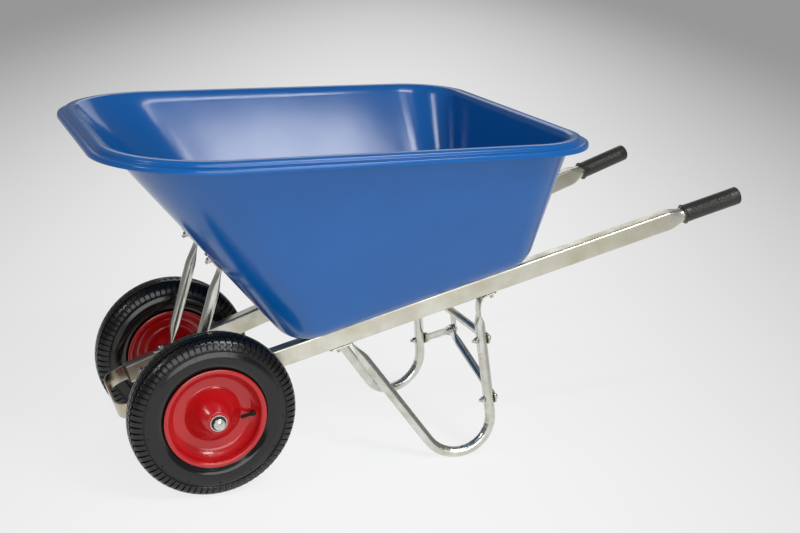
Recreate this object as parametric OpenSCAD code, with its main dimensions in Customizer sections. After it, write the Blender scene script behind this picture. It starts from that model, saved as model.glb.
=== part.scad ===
// Two wheel wheelbarrow: a deep tray on two splayed box rails, with a fixed axle,
// two pressed steel wheels, two bent tube legs and two ribbed grips.
// X runs from the wheels to the grips, Y across, Z up. The ground is at zero.

/* [Wheels] */
// Distance between the middle planes of the two tyres
track = 417; // [400:1:440]
// Diameter over the tread
tyre_d = 374; // [360:1:390]
// Width of the tyre at its fullest
tyre_w = 81; // [78:1:90]
// Thickness of the sidewall
tyre_wall = 6; // [4:0.5:8]
// Thickness of the rubber at the crown
tread_t = 12; // [9:0.5:16]
// Wall of the inner tube
tube_wall = 2; // [1:0.5:4]
// Diameter over the flange of the rim
rim_d = 228; // [222:1:234]
// Diameter of the seat that carries the bead
bead_seat_d = 203; // [198:1:208]
// Width over the two flanges
rim_w = 73; // [68:1:75]
// Thickness of the pressed rim sheet
rim_sheet = 2; // [1.5:0.5:3]
// Outer diameter of the flat ring where the two pressings meet
ring_d = 162; // [150:1:170]
// Diameter at the foot of the bell round the hub
bell_d = 128; // [110:1:140]
// Diameter of the valve stem
valve_d = 9; // [7:0.5:11]
// Length of the valve stem outside the rim
valve_len = 38; // [25:1:42]
// Angle of the valve round the wheel
valve_turn = -5; // [-90:1:90]
// Slope of the valve out of the wheel's plane
valve_tilt = 33; // [25:1:45]

/* [Hubs and axle] */
// Diameter of the hub tube
hub_d = 38; // [36:1:44]
// Bore of the hub tube
hub_bore = 33; // [28:1:34]
// Length of the hub tube
hub_len = 118; // [110:1:122]
// How far the hub tube stands out of the bell
hub_proud = 4; // [2:0.5:8]
// Length of each bush
bush_len = 26; // [15:1:40]
// Diameter of the axle
axle_d = 20; // [16:1:24]
// Diameter of the domed end cap
cap_d = 26; // [25:1:32]
// Depth of the end cap on the axle
cap_depth = 6; // [4:0.5:10]
// Height of the cap's dome
cap_dome = 3; // [2:0.5:5]
// Diameter of the spacer beside the hub
spacer_d = 28; // [25:1:32]
// Width of each saddle along the axle
saddle_w = 28; // [22:1:32]
// Thickness of the saddle strap
saddle_t = 4; // [3:0.5:6]
// Distance of the saddle bolts from the axle
saddle_reach = 30; // [28:1:36]

/* [Rails] */
// Slope of the rails
rail_pitch = 16.9; // [14:0.1:19]
// Splay of each rail in the plane of the rails
rail_splay = 6.3; // [4:0.1:8]
// Distance between the rails over the axle
rail_gap = 228.5; // [220:0.5:240]
// Height of the box section
rail_h = 45; // [40:1:50]
// Width of the box section
rail_w = 32; // [30:1:38]
// Wall of the box section
rail_wall = 2; // [1.5:0.5:3]
// Corner radius of the box section
rail_corner = 5; // [3.5:0.5:7]
// Length of rail in front of the axle
rail_front = 126; // [110:1:140]
// Length of box section behind the axle
rail_back = 1174; // [1100:1:1250]
// Length of the swaged neck
neck_len = 44; // [35:1:60]

/* [Grips] */
// Diameter of the round handle
handle_d = 34; // [30:1:36]
// Wall of the round handle
handle_wall = 2; // [1.5:0.5:3]
// Length of a grip
grip_len = 150; // [130:1:170]
// Diameter over the ribs
grip_d = 43; // [40:1:46]
// Diameter of the collar at the inner end
collar_d = 48; // [46:1:52]
// Thickness of the closed end
grip_end = 5; // [3:0.5:8]
// Rounding of the closed end
grip_round = 6; // [3:0.5:9]
// Spacing of the ribs
rib_pitch = 5; // [4:0.5:8]
// Depth of the ribs
rib_depth = 0.8; // [0.4:0.1:1.2]

/* [Nose bar] */
// Room over and under the strap inside the rail
nose_room = 1.5; // [0.5:0.5:4]
// Thickness of the strap
nose_t = 5; // [4:0.5:6]
// Reach of the strap in front of the axle
nose_reach = 184; // [175:1:200]
// Bend radius at the middle of the strap
nose_bend = 47; // [40:1:50]
// Length of strap inside each rail
nose_grip = 62; // [50:1:80]
// Distance of the bolt from the rail's front end
nose_bolt_in = 28; // [20:1:36]

/* [Tray] */
// Reach of the lip in front of the axle
tray_front = 249; // [235:1:265]
// Length over the lip
tray_len = 1074; // [1040:1:1110]
// Width over the lip
tray_w = 910; // [880:1:940]
// Height of the lip's inner edge over the ground
tray_z = 794; // [770:1:820]
// Thickness of the moulded wall
tray_t = 4; // [3:0.5:6]
// Width of the rolled lip
lip_w = 42; // [34:1:48]
// Drop of the lip's outer edge
lip_drop = 18; // [14:1:24]
// Corner radius of the lip at the front
lip_front_r = 246; // [200:1:270]
// Corner radius of the lip at the back
lip_back_r = 166; // [140:1:190]
// Distance of the floor's front edge behind the axle
floor_front = 200; // [180:1:220]
// Length of the floor, measured level
floor_len = 556; // [530:1:580]
// Width of the floor at the front
floor_front_w = 412; // [400:1:440]
// Width of the floor at the back
floor_back_w = 494; // [480:1:520]
// Corner radius of the floor at the front
floor_front_r = 82; // [70:1:100]
// Corner radius of the floor at the back
floor_back_r = 56; // [50:1:80]
// Rounding between the floor and the walls
floor_round = 52; // [35:1:60]

/* [Struts] */
// Diameter of the strut tube
strut_d = 25; // [22:1:28]
// Wall of the strut tube
strut_wall = 2; // [1.5:0.5:3]
// Distance of the foot's bend in front of the axle
strut_foot = 8; // [4:1:14]
// Height of the upper bend over the ground
strut_top = 488; // [470:1:505]
// Length of the flattened run at each end
strut_flat = 58; // [45:1:70]
// Diameter of the drain hole at the foot
drain_d = 6; // [4:0.5:9]
// Length of the tab on the rail
strut_tab = 46; // [40:1:52]
// Length of the tab on the tray
strut_top_tab = 48; // [40:1:56]

/* [Legs] */
// Diameter of the leg tube
leg_d = 25; // [22:1:28]
// Wall of the leg tube
leg_wall = 2; // [1.5:0.5:3]
// Distance of the foot behind the axle
leg_back = 591; // [575:1:605]
// Distance of the foot from the middle plane
leg_side = 216; // [205:1:225]
// Turn of the leg's plane, seen from above
leg_turn = 8.4; // [6:0.1:10]
// Lean of the leg's plane towards the tray
leg_lean = 4.6; // [3:0.1:6]
// Bend radius at the foot
leg_bend = 84; // [70:1:95]
// Slope of the front run
leg_front_slope = 53; // [50:1:56]
// Lean of the rear run
leg_rear_lean = 8; // [6:0.5:10]
// Length of the flattened run at each end
leg_flat = 58; // [45:1:70]
// Length of each tab
leg_tab = 54; // [48:1:60]
// Width of a flattened end
tab_w = 31; // [28:1:34]
// Thickness of a flattened end
tab_t = 4; // [3:0.5:6]
// Distance of the tab's bolt from its bend
tab_bolt = 32; // [28:1:34]
// Length of the curved fold at the rear end, down the run
fold_drop = 40; // [34:1:46]
// Length of the curved fold at the rear end, along the rail
fold_reach = 24; // [20:1:26]
// Length of the rear tab past the fold
rear_tab = 24; // [20:1:28]

/* [Leg braces] */
// Height of the brace bolts, along the rear run from its bend
brace_low = 34; // [25:1:50]
// Height of the cross bar's bolts, along the rear run from its bend
brace_high = 182; // [170:1:190]
// Diameter of the cross bar's tube and the brace tubes
brace_d = 19; // [17:0.5:22]
// Wall of these tubes
brace_wall = 1.5; // [1.2:0.1:2]
// Width of their flattened ends
brace_w = 28; // [26:1:30]
// Thickness of their flattened ends
brace_t = 4; // [3:0.5:5]
// Length over which a tube goes flat
brace_press = 34; // [28:1:42]
// Distance of the centre bolt below the cross bar's bolts
apex_drop = 47; // [42:1:54]
// Width of the lug that hangs from the middle of the cross bar
lug_w = 28; // [24:1:30]
// Thickness of the lug
lug_t = 4; // [3:0.5:5]

/* [Fasteners] */
// Diameter of the bolts
bolt_d = 8; // [6:0.5:9]
// Width of the hexagons across their corners
hex_d = 15; // [14:0.5:17]
// Height of the bolt heads
head_h = 5.5; // [4:0.5:7]
// Height of the nuts
nut_h = 6.5; // [5:0.5:8]
// Length of thread past the nut
bolt_tail = 6; // [3:0.5:10]
// Diameter of the round heads inside the tray
dome_d = 20; // [18:0.5:24]
// Height of the round heads inside the tray
dome_h = 4.5; // [3:0.5:6]

/* [Clearances] */
// Radial clearance of the axle in its bushes
run_gap = 0.05; // [0.02:0.01:0.1]
// Radial clearance of the bolts in their holes
hole_gap = 0.25; // [0.1:0.05:0.5]
// Clearance of pieces that lie on or in each other
seat_gap = 0.1; // [0.05:0.05:0.3]
// Clearance of rubber from its neighbours, and of the hubs along the axle
soft_gap = 0.5; // [0.3:0.1:1]

/* [Hidden] */
$fn = 48;
left = -1;
right = 1;
// How far cutting tools reach past what they cut
overrun = 1;
// Thickness of the slices that blend one section into another
slice = 0.5;
hull_sides = 32;
pipe_sides = 24;

tyre_r = tyre_d / 2;
tyre_half = tyre_w / 2;
rim_r = rim_d / 2;
rim_half = rim_w / 2;
bead_seat_r = bead_seat_d / 2;
bead_r = bead_seat_r + rim_sheet + soft_gap;
tube_r = min(tyre_half - tyre_wall, (tyre_r - tread_t - bead_r) / 2) - soft_gap;
tube_ring_r = tyre_r - tread_t - soft_gap - tube_r;
hub_r = hub_d / 2;
hub_half = hub_len / 2;
bell_top = hub_half - hub_proud;
axle_r = axle_d / 2;
bolt_r = bolt_d / 2;
hole_r = bolt_r + hole_gap;

// The rail frame lies on the axle's middle and is tilted with the rails
rail_lift = axle_r + seat_gap + rail_h / 2;
rail_top = rail_lift + rail_h / 2;
rail_under = rail_lift - rail_h / 2;
grip_start = rail_back + neck_len;
grip_stop = grip_start + grip_len;
tilt_cos = cos(rail_pitch) * cos(rail_splay);
tilt_sin = sqrt(1 - tilt_cos * tilt_cos);
grip_rear = (grip_stop - grip_round) * tilt_cos + (grip_d / 2 - grip_round) * tilt_sin + grip_round
    - rail_lift * sin(rail_pitch);
// The box round the whole part is centred on the origin
axle_x = (tray_front - grip_rear) / 2;

// The tray's rings, relative to the axle
edge_front = lip_w - tray_front;
edge_back = tray_len - tray_front - lip_w;
edge_half = tray_w / 2 - lip_w;
edge_front_r = lip_front_r - lip_w;
edge_back_r = lip_back_r - lip_w;
floor_back = floor_front + floor_len;
floor_level = rail_top + seat_gap;
corner_steps = 10;
round_steps = 5;
fold_steps = 8;
// The lip, as shares of its width and its drop
lip_shares = [[0, 0], [0.07, 0.13], [0.22, 0.2], [0.42, 0.18], [0.57, 0.03], [0.64, -0.17],
    [0.68, -0.3], [0.74, -0.36], [0.88, -0.39], [0.97, -0.5], [1, -0.72], [1, -1]];
rib_shares = [[0, 0], [0.3, 1], [0.7, 1]];

// The front wall of the tray, seen from the side
wall_foot = [floor_front, plane_z(floor_front, floor_level)];
wall_head = [edge_front - tray_t, tray_z - tray_t];
wall_run = wall_head - wall_foot;
wall_lean = atan2(-wall_run[0], wall_run[1]);
wall_out = [-cos(wall_lean), -sin(wall_lean)];
strut_seat = tab_t / 2 + seat_gap;
strut_high = wall_point(strut_top) + wall_out * strut_seat;
strut_low = flat3(rail_point(-strut_foot, rail_h / 2 + strut_seat));
strut_y = rail_point(-strut_foot, 0)[1];
strut_dir = (strut_high - strut_low) / norm(strut_high - strut_low);
strut_turn = atan2(strut_dir[0], strut_dir[1]);

// The leg's centre line in its own plane
leg_r = leg_d / 2;
leg_centre = [0, leg_bend + leg_r / cos(leg_lean)];
leg_front_dir = [-cos(leg_front_slope), sin(leg_front_slope)];
leg_rear_dir = [-sin(leg_rear_lean), cos(leg_rear_lean)];
leg_front_bend = leg_centre + leg_bend * [-sin(leg_front_slope), -cos(leg_front_slope)];
leg_rear_bend = leg_centre + leg_bend * [cos(leg_rear_lean), sin(leg_rear_lean)];
leg_seat = tab_t / 2 + seat_gap;
leg_front_run = leg_reach(leg_front_bend, leg_front_dir);
leg_rear_run = leg_reach(leg_rear_bend, leg_rear_dir);
tab_front = rail_place(leg_point(leg_front_bend + leg_front_run * leg_front_dir));
tab_rear = rail_place(leg_point(leg_rear_bend + leg_rear_run * leg_rear_dir));
fold_foot = leg_rear_bend + (leg_rear_run - fold_drop) * leg_rear_dir;
fold_back = rail_place(leg_point(fold_foot)) - tab_rear;
fold_low = -sqrt(fold_drop * fold_drop - fold_back * fold_back);
floor_bolt_places = [tab_front - tab_bolt, tab_rear + fold_reach + rear_tab / 2];

// The brace frame stands on the rear runs of the legs, low bolts at its origin
brace_origin = leg_point(leg_rear_bend + brace_low * leg_rear_dir);
brace_upper = leg_point(leg_rear_bend + brace_high * leg_rear_dir);
brace_rise = brace_upper - brace_origin;
brace_tilt = atan2(-brace_rise[0], brace_rise[2]);
brace_height = norm([brace_rise[0], brace_rise[2]]);
brace_seat = leg_r + seat_gap;
brace_flat = max(hex_d, lug_w / 2, brace_w / 2);
apex_z = brace_height - apex_drop;

// Height over the ground of the sloping plane that lies lift above the axle
function plane_z(x, lift) = tyre_r + (lift + x * sin(rail_pitch)) / cos(rail_pitch);
// A point of the right rail, at a run along it and a height over its middle
function rail_point(run, up) = [
    run * cos(rail_splay) * cos(rail_pitch) - (rail_lift + up) * sin(rail_pitch),
    rail_gap / 2 + run * sin(rail_splay),
    tyre_r + run * cos(rail_splay) * sin(rail_pitch) + (rail_lift + up) * cos(rail_pitch)];
// The run along the right rail that lies nearest to a point
function rail_place(p) = (p[0] * cos(rail_pitch) + (p[2] - tyre_r) * sin(rail_pitch)) * cos(rail_splay)
    + (p[1] - rail_gap / 2) * sin(rail_splay);
// How far a point lies above the axle, square to the rails' plane
function rail_height(p) = (p[2] - tyre_r) * cos(rail_pitch) - p[0] * sin(rail_pitch);
// A point's X and Z
function flat3(p) = [p[0], p[2]];
// The point of the tray's front wall at a height
function wall_point(z) = wall_foot + wall_run * (z - wall_foot[1]) / wall_run[1];
// A point of the right leg's plane
function leg_point(p) = [
    leg_back + p[0] * cos(leg_turn) + p[1] * sin(leg_lean) * sin(leg_turn),
    leg_side + p[0] * sin(leg_turn) - p[1] * sin(leg_lean) * cos(leg_turn),
    p[1] * cos(leg_lean)];
// How far a run goes from its bend to the tab under the rail
function leg_reach(from, dir) = (rail_under - leg_seat - rail_height(leg_point(from)))
    / (rail_height(leg_point(from + dir)) - rail_height(leg_point(from)));

// An outline with a thickness laid on the left of its direction, corners mitred
function left_of(a, b) = [a[1] - b[1], b[0] - a[0]] / norm(b - a);
function mitre(m, n) = (m + n) / (1 + m * n);
function side_at(line, i) = i == 0 ? left_of(line[0], line[1])
    : i == len(line) - 1 ? left_of(line[i - 1], line[i])
    : mitre(left_of(line[i - 1], line[i]), left_of(line[i], line[i + 1]));
function beside(line, t) = [for (i = [0:len(line) - 1]) line[i] + t * side_at(line, i)];
function backwards(list) = [for (i = [len(list) - 1:-1:0]) list[i]];
function sheet(line, t) = concat(line, backwards(beside(line, t)));

// Rings of the tray, all with the same number of points
function corner(x, y, r, from) = [for (i = [0:corner_steps])
    [x + r * cos(from + 90 * i / corner_steps), y + r * sin(from + 90 * i / corner_steps)]];
function plan_ring(front, back, front_half, back_half, front_r, back_r) = concat(
    corner(back - back_r, back_half - back_r, back_r, 0),
    corner(front + front_r, front_half - front_r, front_r, 90),
    corner(front + front_r, front_r - front_half, front_r, 180),
    corner(back - back_r, back_r - back_half, back_r, 270));
function edge_plan(out) = plan_ring(edge_front - out, edge_back + out, edge_half + out,
    edge_half + out, edge_front_r + out, edge_back_r + out);
function floor_plan(inset) = plan_ring(floor_front + inset, floor_back - inset, floor_front_w / 2 - inset,
    floor_back_w / 2 - inset, floor_front_r - inset, floor_back_r - inset);
function at_height(ring, z) = [for (p = ring) [p[0], p[1], z]];
function on_plane(ring, lift) = [for (p = ring) [p[0], p[1], plane_z(p[0], lift)]];
// A point of the rounding between the floor, the corner point and the wall
function round_point(low, mid, high, t) = low * (1 - t) * (1 - t) + mid * 2 * t * (1 - t) + high * t * t;
function towards(a, b, d) = a + (b - a) * d / norm(b - a);
// The direction square to v, one unit long
function across(v) = [-v[1], v[0]] / norm(v);
function wall_rings(head, foot, inset, d) = [for (k = [0:round_steps]) [for (i = [0:len(foot) - 1])
    round_point(inset[i], foot[i], towards(foot[i], head[i], d), k / round_steps)]];
function pipe_ring(p, a, r) = [for (k = [0:pipe_sides - 1]) let (t = 360 * k / pipe_sides)
    [p[0] + r * cos(t) * cos(a), p[1] + r * cos(t) * sin(a), r * sin(t)]];
// Triangles between neighbouring rings of n points, for the first bands of them
function strips(n, rings, bands) = [for (k = [0:bands - 1]) for (i = [0:n - 1]) for (half = [0, 1])
    let (j = (i + 1) % n, a = k * n, b = (k + 1) % rings * n)
    half == 0 ? [a + i, a + j, b + j] : [a + i, b + j, b + i]];
function joined(rings) = [for (r = rings) for (p = r) p];
function middle(ring) = (ring[0] + ring[2 * corner_steps + 2]) / 2;

// The two sides of the model share each shape: the left one is mirrored
module on_side(s) {
    mirror([0, s == left ? 1 : 0, 0])
        children();
}

module at_axle() {
    translate([axle_x, 0, tyre_r])
        children();
}

module at_ground() {
    translate([axle_x, 0, 0])
        children();
}

module on_rail_plane() {
    at_axle()
        rotate([0, -rail_pitch, 0])
            children();
}

// The right rail's frame: X along the rail, origin beside the axle
module on_rail(run = 0, up = 0) {
    on_rail_plane()
        translate([0, rail_gap / 2, rail_lift])
            rotate([0, 0, rail_splay])
                translate([run, 0, up])
                    children();
}

// The right wheel's frame: Z out along the axle
module on_wheel() {
    at_axle()
        translate([0, track / 2, 0])
            rotate([-90, 0, 0])
                children();
}

module in_leg_plane() {
    at_ground()
        translate([leg_back, leg_side, 0])
            rotate([0, 0, leg_turn])
                rotate([90 + leg_lean, 0, 0])
                    children();
}

module on_braces() {
    at_ground()
        translate([brace_origin[0], 0, brace_origin[2]])
            rotate([0, -brace_tilt, 0])
                children();
}

// The tab frame on the tray's front wall: Z out of the wall, X up along it
module on_front_wall(up = 0) {
    at_ground()
        translate([strut_high[0], strut_y, strut_high[1]])
            rotate([0, -90 - wall_lean, 0])
                translate([up, 0, 0])
                    children();
}

module along_x() {
    rotate([0, 90, 0])
        children();
}

module drill(depth) {
    translate([0, 0, -depth / 2])
        cylinder(h = depth, r = hole_r);
}

// A hexagon bolt: head over zero, shank and nut under it
module hex_bolt(grip) {
    cylinder(h = head_h, d = hex_d, $fn = 6);
    bolt_shank(grip);
}

// A round headed bolt of the same size
module dome_bolt(grip) {
    ball_r = (dome_d * dome_d / 4 + dome_h * dome_h) / (2 * dome_h);
    intersection() {
        translate([0, 0, dome_h - ball_r])
            sphere(r = ball_r);
        cylinder(h = dome_h + overrun, d = dome_d + overrun);
    }
    bolt_shank(grip);
}

module bolt_shank(grip) {
    translate([0, 0, -grip - nut_h - bolt_tail])
        cylinder(h = grip + nut_h + bolt_tail, r = bolt_r);
    translate([0, 0, -grip - nut_h])
        cylinder(h = nut_h, d = hex_d, $fn = 6);
}

module rounded_box(w, h, r) {
    square([w - 2 * r, h], center = true);
    square([w, h - 2 * r], center = true);
    for (x = [-1, 1], y = [-1, 1])
        translate([x * (w / 2 - r), y * (h / 2 - r)])
            circle(r = r);
}

// A box section along X, standing on its narrow side
module box_run(from, to, w, h, r) {
    translate([from, 0, 0])
        rotate([90, 0, 90])
            linear_extrude(height = to - from)
                rounded_box(w, h, r);
}

module round_run(from, to, r) {
    translate([from, 0, 0])
        along_x()
            cylinder(h = to - from, r = r);
}

module tray() {
    color("royalblue")
        difference() {
            at_ground()
                tray_shell();
            for (s = [left, right])
                on_side(s) {
                    for (run = floor_bolt_places)
                        on_rail(run, rail_h / 2 + seat_gap + tray_t)
                            bolt_seat();
                    on_front_wall(tab_bolt)
                        translate([0, 0, -strut_seat - tray_t])
                            mirror([0, 0, 1])
                                bolt_seat();
                }
        }
}

// A hole with a flat moulded seat for a round head
module bolt_seat() {
    drill(4 * tray_t);
    cylinder(h = floor_round, d = dome_d + 2 * soft_gap);
}

// One closed skin: from the middle of the inner floor, over the lip, to the middle of the outer floor
module tray_shell() {
    inner_lift = floor_level + tray_t;
    foot_in = on_plane(floor_plan(tray_t), inner_lift);
    foot_out = on_plane(floor_plan(0), floor_level);
    head_in = at_height(edge_plan(0), tray_z);
    head_out = at_height(edge_plan(tray_t), tray_z - tray_t);
    inside = wall_rings(head_in, foot_in, on_plane(floor_plan(floor_round), inner_lift),
        floor_round - tray_t);
    outside = wall_rings(head_out, foot_out, on_plane(floor_plan(floor_round), floor_level), floor_round);
    lip_line = [for (p = lip_shares) [p[0] * lip_w, p[1] * lip_drop]];
    under_line = backwards(beside(lip_line, -tray_t));
    under_stop = len(under_line) - 2;
    lip_top = [for (p = lip_line) at_height(edge_plan(p[0]), tray_z + p[1])];
    lip_under = [for (i = [0:under_stop]) at_height(edge_plan(under_line[i][0]), tray_z + under_line[i][1])];
    rings = concat(inside, lip_top, lip_under, [head_out], backwards(outside));
    n = len(rings[0]);
    last = len(rings) - 1;
    points = concat(joined(rings), [middle(rings[0]), middle(rings[last])]);
    cap_in = n * len(rings);
    cap_out = cap_in + 1;
    caps_in = [for (i = [0:n - 1]) [cap_in, (i + 1) % n, i]];
    caps_out = [for (i = [0:n - 1]) [cap_out, last * n + i, last * n + (i + 1) % n]];
    polyhedron(points = points, faces = concat(strips(n, len(rings), last), caps_in, caps_out));
}

module rail(s) {
    inner_r = rail_corner - rail_wall;
    bore_r = handle_d / 2 - handle_wall;
    tube_stop = grip_stop - grip_end - seat_gap;
    color("gainsboro")
        on_side(s)
            difference() {
                on_rail() {
                    box_run(-rail_front, rail_back, rail_w, rail_h, rail_corner);
                    hull() {
                        box_run(rail_back - slice, rail_back, rail_w, rail_h, rail_corner, $fn = hull_sides);
                        round_run(grip_start - slice, grip_start, handle_d / 2, $fn = hull_sides);
                    }
                    round_run(grip_start - slice, tube_stop, handle_d / 2);
                }
                on_rail() {
                    box_run(-rail_front - overrun, rail_back, rail_w - 2 * rail_wall, rail_h - 2 * rail_wall,
                        inner_r);
                    hull() {
                        box_run(rail_back - slice, rail_back, rail_w - 2 * rail_wall, rail_h - 2 * rail_wall,
                            inner_r, $fn = hull_sides);
                        round_run(grip_start - slice, grip_start, bore_r, $fn = hull_sides);
                    }
                    round_run(grip_start - slice, tube_stop + overrun, bore_r);
                }
                for (run = concat(floor_bolt_places, [-saddle_reach, saddle_reach]))
                    on_rail(run)
                        drill(2 * rail_h);
                on_rail(nose_bolt_in - rail_front)
                    rotate([90, 0, 0])
                        drill(2 * rail_w);
            }
}

module grip(s) {
    bore_r = handle_d / 2 + seat_gap;
    outer_r = grip_d / 2;
    valley_r = outer_r - rib_depth;
    collar_t = rib_pitch / 2;
    rib_from = 4 * rib_pitch;
    rib_count = floor((grip_len - 2 * rib_from) / rib_pitch);
    ribs = [for (i = [0:rib_count - 1]) for (p = rib_shares)
        [valley_r + p[1] * rib_depth, rib_from + (i + p[0]) * rib_pitch]];
    rounding = [for (a = [0:15:90]) [outer_r - grip_round + grip_round * cos(a),
        grip_len - grip_round + grip_round * sin(a)]];
    profile = concat([[bore_r, 0], [collar_d / 2, 0], [collar_d / 2, collar_t], [outer_r, 2 * collar_t],
        [outer_r, rib_from - collar_t]], ribs, [[valley_r, rib_from + rib_count * rib_pitch],
        [outer_r, rib_from + rib_count * rib_pitch + collar_t]], rounding,
        [[0, grip_len], [0, grip_len - grip_end], [bore_r, grip_len - grip_end]]);
    color("black")
        on_side(s)
            on_rail(grip_start)
                along_x()
                    rotate_extrude()
                        polygon(profile);
}

// The strap's middle line lies inside the outer walls of the rails
module nose_bar() {
    nose_h = rail_h - 2 * rail_wall - 2 * nose_room;
    corner_in = rail_corner - rail_wall;
    rise = max(0, corner_in - nose_room);
    corner_room = corner_in - sqrt(corner_in * corner_in - rise * rise);
    arm_side = rail_w / 2 - rail_wall - corner_room - seat_gap - nose_t / 2;
    bend_x = nose_bend + nose_t / 2 - nose_reach;
    bend_y = rail_gap / 2 + (arm_side - nose_bend) / cos(rail_splay) + bend_x * tan(rail_splay);
    arm_from = [bend_x - nose_bend * sin(rail_splay), bend_y + nose_bend * cos(rail_splay)];
    arm_len = ((nose_grip - rail_front) * cos(rail_splay) - arm_from[0]) / cos(rail_splay);
    color("gainsboro")
        difference() {
            on_rail_plane()
                translate([0, 0, rail_lift - nose_h / 2]) {
                    translate([-nose_reach, -bend_y, 0])
                        cube([nose_t, 2 * bend_y, nose_h]);
                    for (s = [left, right])
                        on_side(s) {
                            translate([bend_x, bend_y, 0])
                                rotate_extrude(angle = 90 - rail_splay, start = 90 + rail_splay)
                                    translate([nose_bend - nose_t / 2, 0])
                                        square([nose_t, nose_h]);
                            translate([arm_from[0], arm_from[1], 0])
                                rotate([0, 0, rail_splay])
                                    translate([0, -nose_t / 2, 0])
                                        cube([arm_len, nose_t, nose_h]);
                        }
                }
            for (s = [left, right])
                on_side(s)
                    on_rail(nose_bolt_in - rail_front)
                        rotate([90, 0, 0])
                            drill(2 * rail_w);
        }
}

// A flattened end
module tab(length) {
    cube([length, tab_w, tab_t], center = true);
}

// The slice inside a tab from which the flattened run grows
module tab_root() {
    cube([slice, tab_w - 2 * seat_gap, tab_t - 2 * seat_gap], center = true);
}

// The right strut's frame: Z up along the tube
module on_strut(up) {
    at_ground()
        translate([strut_low[0], strut_y, strut_low[1]])
            rotate([0, strut_turn, 0])
                translate([0, 0, up])
                    children();
}

module strut_tube(r, from, to) {
    on_strut(from)
        cylinder(h = to - from, r = r);
}

module strut(s) {
    length = norm(strut_high - strut_low);
    tube_from = strut_flat;
    tube_to = length - strut_flat;
    plug_r = strut_d / 2 - seat_gap;
    color("lightgray")
        on_side(s)
            difference() {
                union() {
                    difference() {
                        strut_tube(strut_d / 2, tube_from, tube_to);
                        strut_tube(strut_d / 2 - strut_wall, tube_from + slice, tube_to - slice);
                    }
                    hull() {
                        strut_tube(plug_r, tube_from + slice / 4, tube_from + slice / 2, $fn = hull_sides);
                        on_rail(-strut_foot, rail_h / 2 + strut_seat)
                            tab_root();
                    }
                    hull() {
                        strut_tube(plug_r, tube_to - slice / 2, tube_to - slice / 4, $fn = hull_sides);
                        on_front_wall()
                            tab_root();
                    }
                    on_rail(-strut_foot - strut_tab / 2, rail_h / 2 + strut_seat)
                        tab(strut_tab);
                    on_front_wall(strut_top_tab / 2)
                        tab(strut_top_tab);
                }
                on_rail(-saddle_reach, rail_h / 2)
                    drill(4 * tab_t);
                on_front_wall(tab_bolt)
                    drill(4 * tab_t);
                on_strut(strut_flat + strut_d)
                    along_x()
                        cylinder(h = strut_d, d = drain_d);
            }
}

// The frame at a place of a straight run of the leg: Z along the run
module on_leg_run(place, dir) {
    in_leg_plane()
        translate([place[0], place[1], 0])
            rotate([0, 0, atan2(dir[1], dir[0])])
                along_x()
                    children();
}

// The bent pipe, one closed skin: outside from the front end to the rear end, then back inside
module leg_pipe(front_end, rear_end) {
    front_turn = 270 - leg_front_slope;
    rear_turn = 360 + leg_rear_lean;
    turns = concat([for (i = [0:4]) front_turn + (270 - front_turn) * i / 4],
        [for (i = [1:8]) 270 + (rear_turn - 270) * i / 8]);
    bow = [for (a = turns) [leg_centre + leg_bend * [cos(a), sin(a)], a]];
    path = concat([[front_end, front_turn]], bow, [[rear_end, rear_turn]]);
    outside = [for (p = path) pipe_ring(p[0], p[1], leg_r)];
    inside = [for (p = path) pipe_ring(p[0], p[1], leg_r - leg_wall)];
    rings = concat(outside, backwards(inside));
    in_leg_plane()
        polyhedron(points = joined(rings), faces = strips(pipe_sides, len(rings), len(rings)));
}

// The rear tab and its fold, seen from the side: a band that curves from the run onto the rail
module fold_band() {
    foot = [fold_back, fold_low];
    bow = [for (k = [0:fold_steps]) round_point(foot, [0, 0], [fold_reach, 0], k / fold_steps)];
    out = [for (k = [0:fold_steps]) tab_t / 2 * across([fold_reach, 0] * k - foot * (fold_steps - k))];
    outer = [for (k = [0:fold_steps]) bow[k] + out[k]];
    inner = [for (k = [0:fold_steps]) bow[k] - out[k]];
    polygon(concat(outer, [[fold_reach + rear_tab, tab_t / 2], [fold_reach + rear_tab, -tab_t / 2]],
        backwards(inner)));
}

module leg(s) {
    front_end = leg_front_bend + (leg_front_run - leg_flat) * leg_front_dir;
    rear_end = leg_rear_bend + (leg_rear_run - fold_drop - leg_flat / 2) * leg_rear_dir;
    plug_r = leg_r * cos(180 / pipe_sides) - seat_gap;
    color("lightgray")
        on_side(s)
            difference() {
                union() {
                    leg_pipe(front_end, rear_end);
                    hull() {
                        on_leg_run(front_end, leg_front_dir)
                            cylinder(h = slice, r = plug_r, center = true, $fn = hull_sides);
                        on_rail(tab_front, -rail_h / 2 - leg_seat)
                            tab_root();
                    }
                    hull() {
                        on_leg_run(rear_end, leg_rear_dir)
                            cylinder(h = slice, r = plug_r, center = true, $fn = hull_sides);
                        on_rail(tab_rear + fold_back, fold_low - rail_h / 2 - leg_seat)
                            rotate([0, atan2(-fold_low, fold_back), 0])
                                tab_root();
                    }
                    on_rail(tab_front - leg_tab / 2, -rail_h / 2 - leg_seat)
                        tab(leg_tab);
                    on_rail(tab_rear, -rail_h / 2 - leg_seat)
                        rotate([90, 0, 0])
                            linear_extrude(tab_w, center = true)
                                fold_band();
                }
                for (run = floor_bolt_places)
                    on_rail(run, -rail_h / 2 - leg_seat)
                        drill(4 * tab_t);
                brace_holes();
            }
}

// The bolt lines of the right leg's braces
module brace_holes() {
    on_braces()
        for (p = [[brace_origin[1], 0], [brace_upper[1], brace_height]])
            translate([0, p[0], p[1]])
                along_x()
                    drill(4 * leg_d);
}

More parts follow.
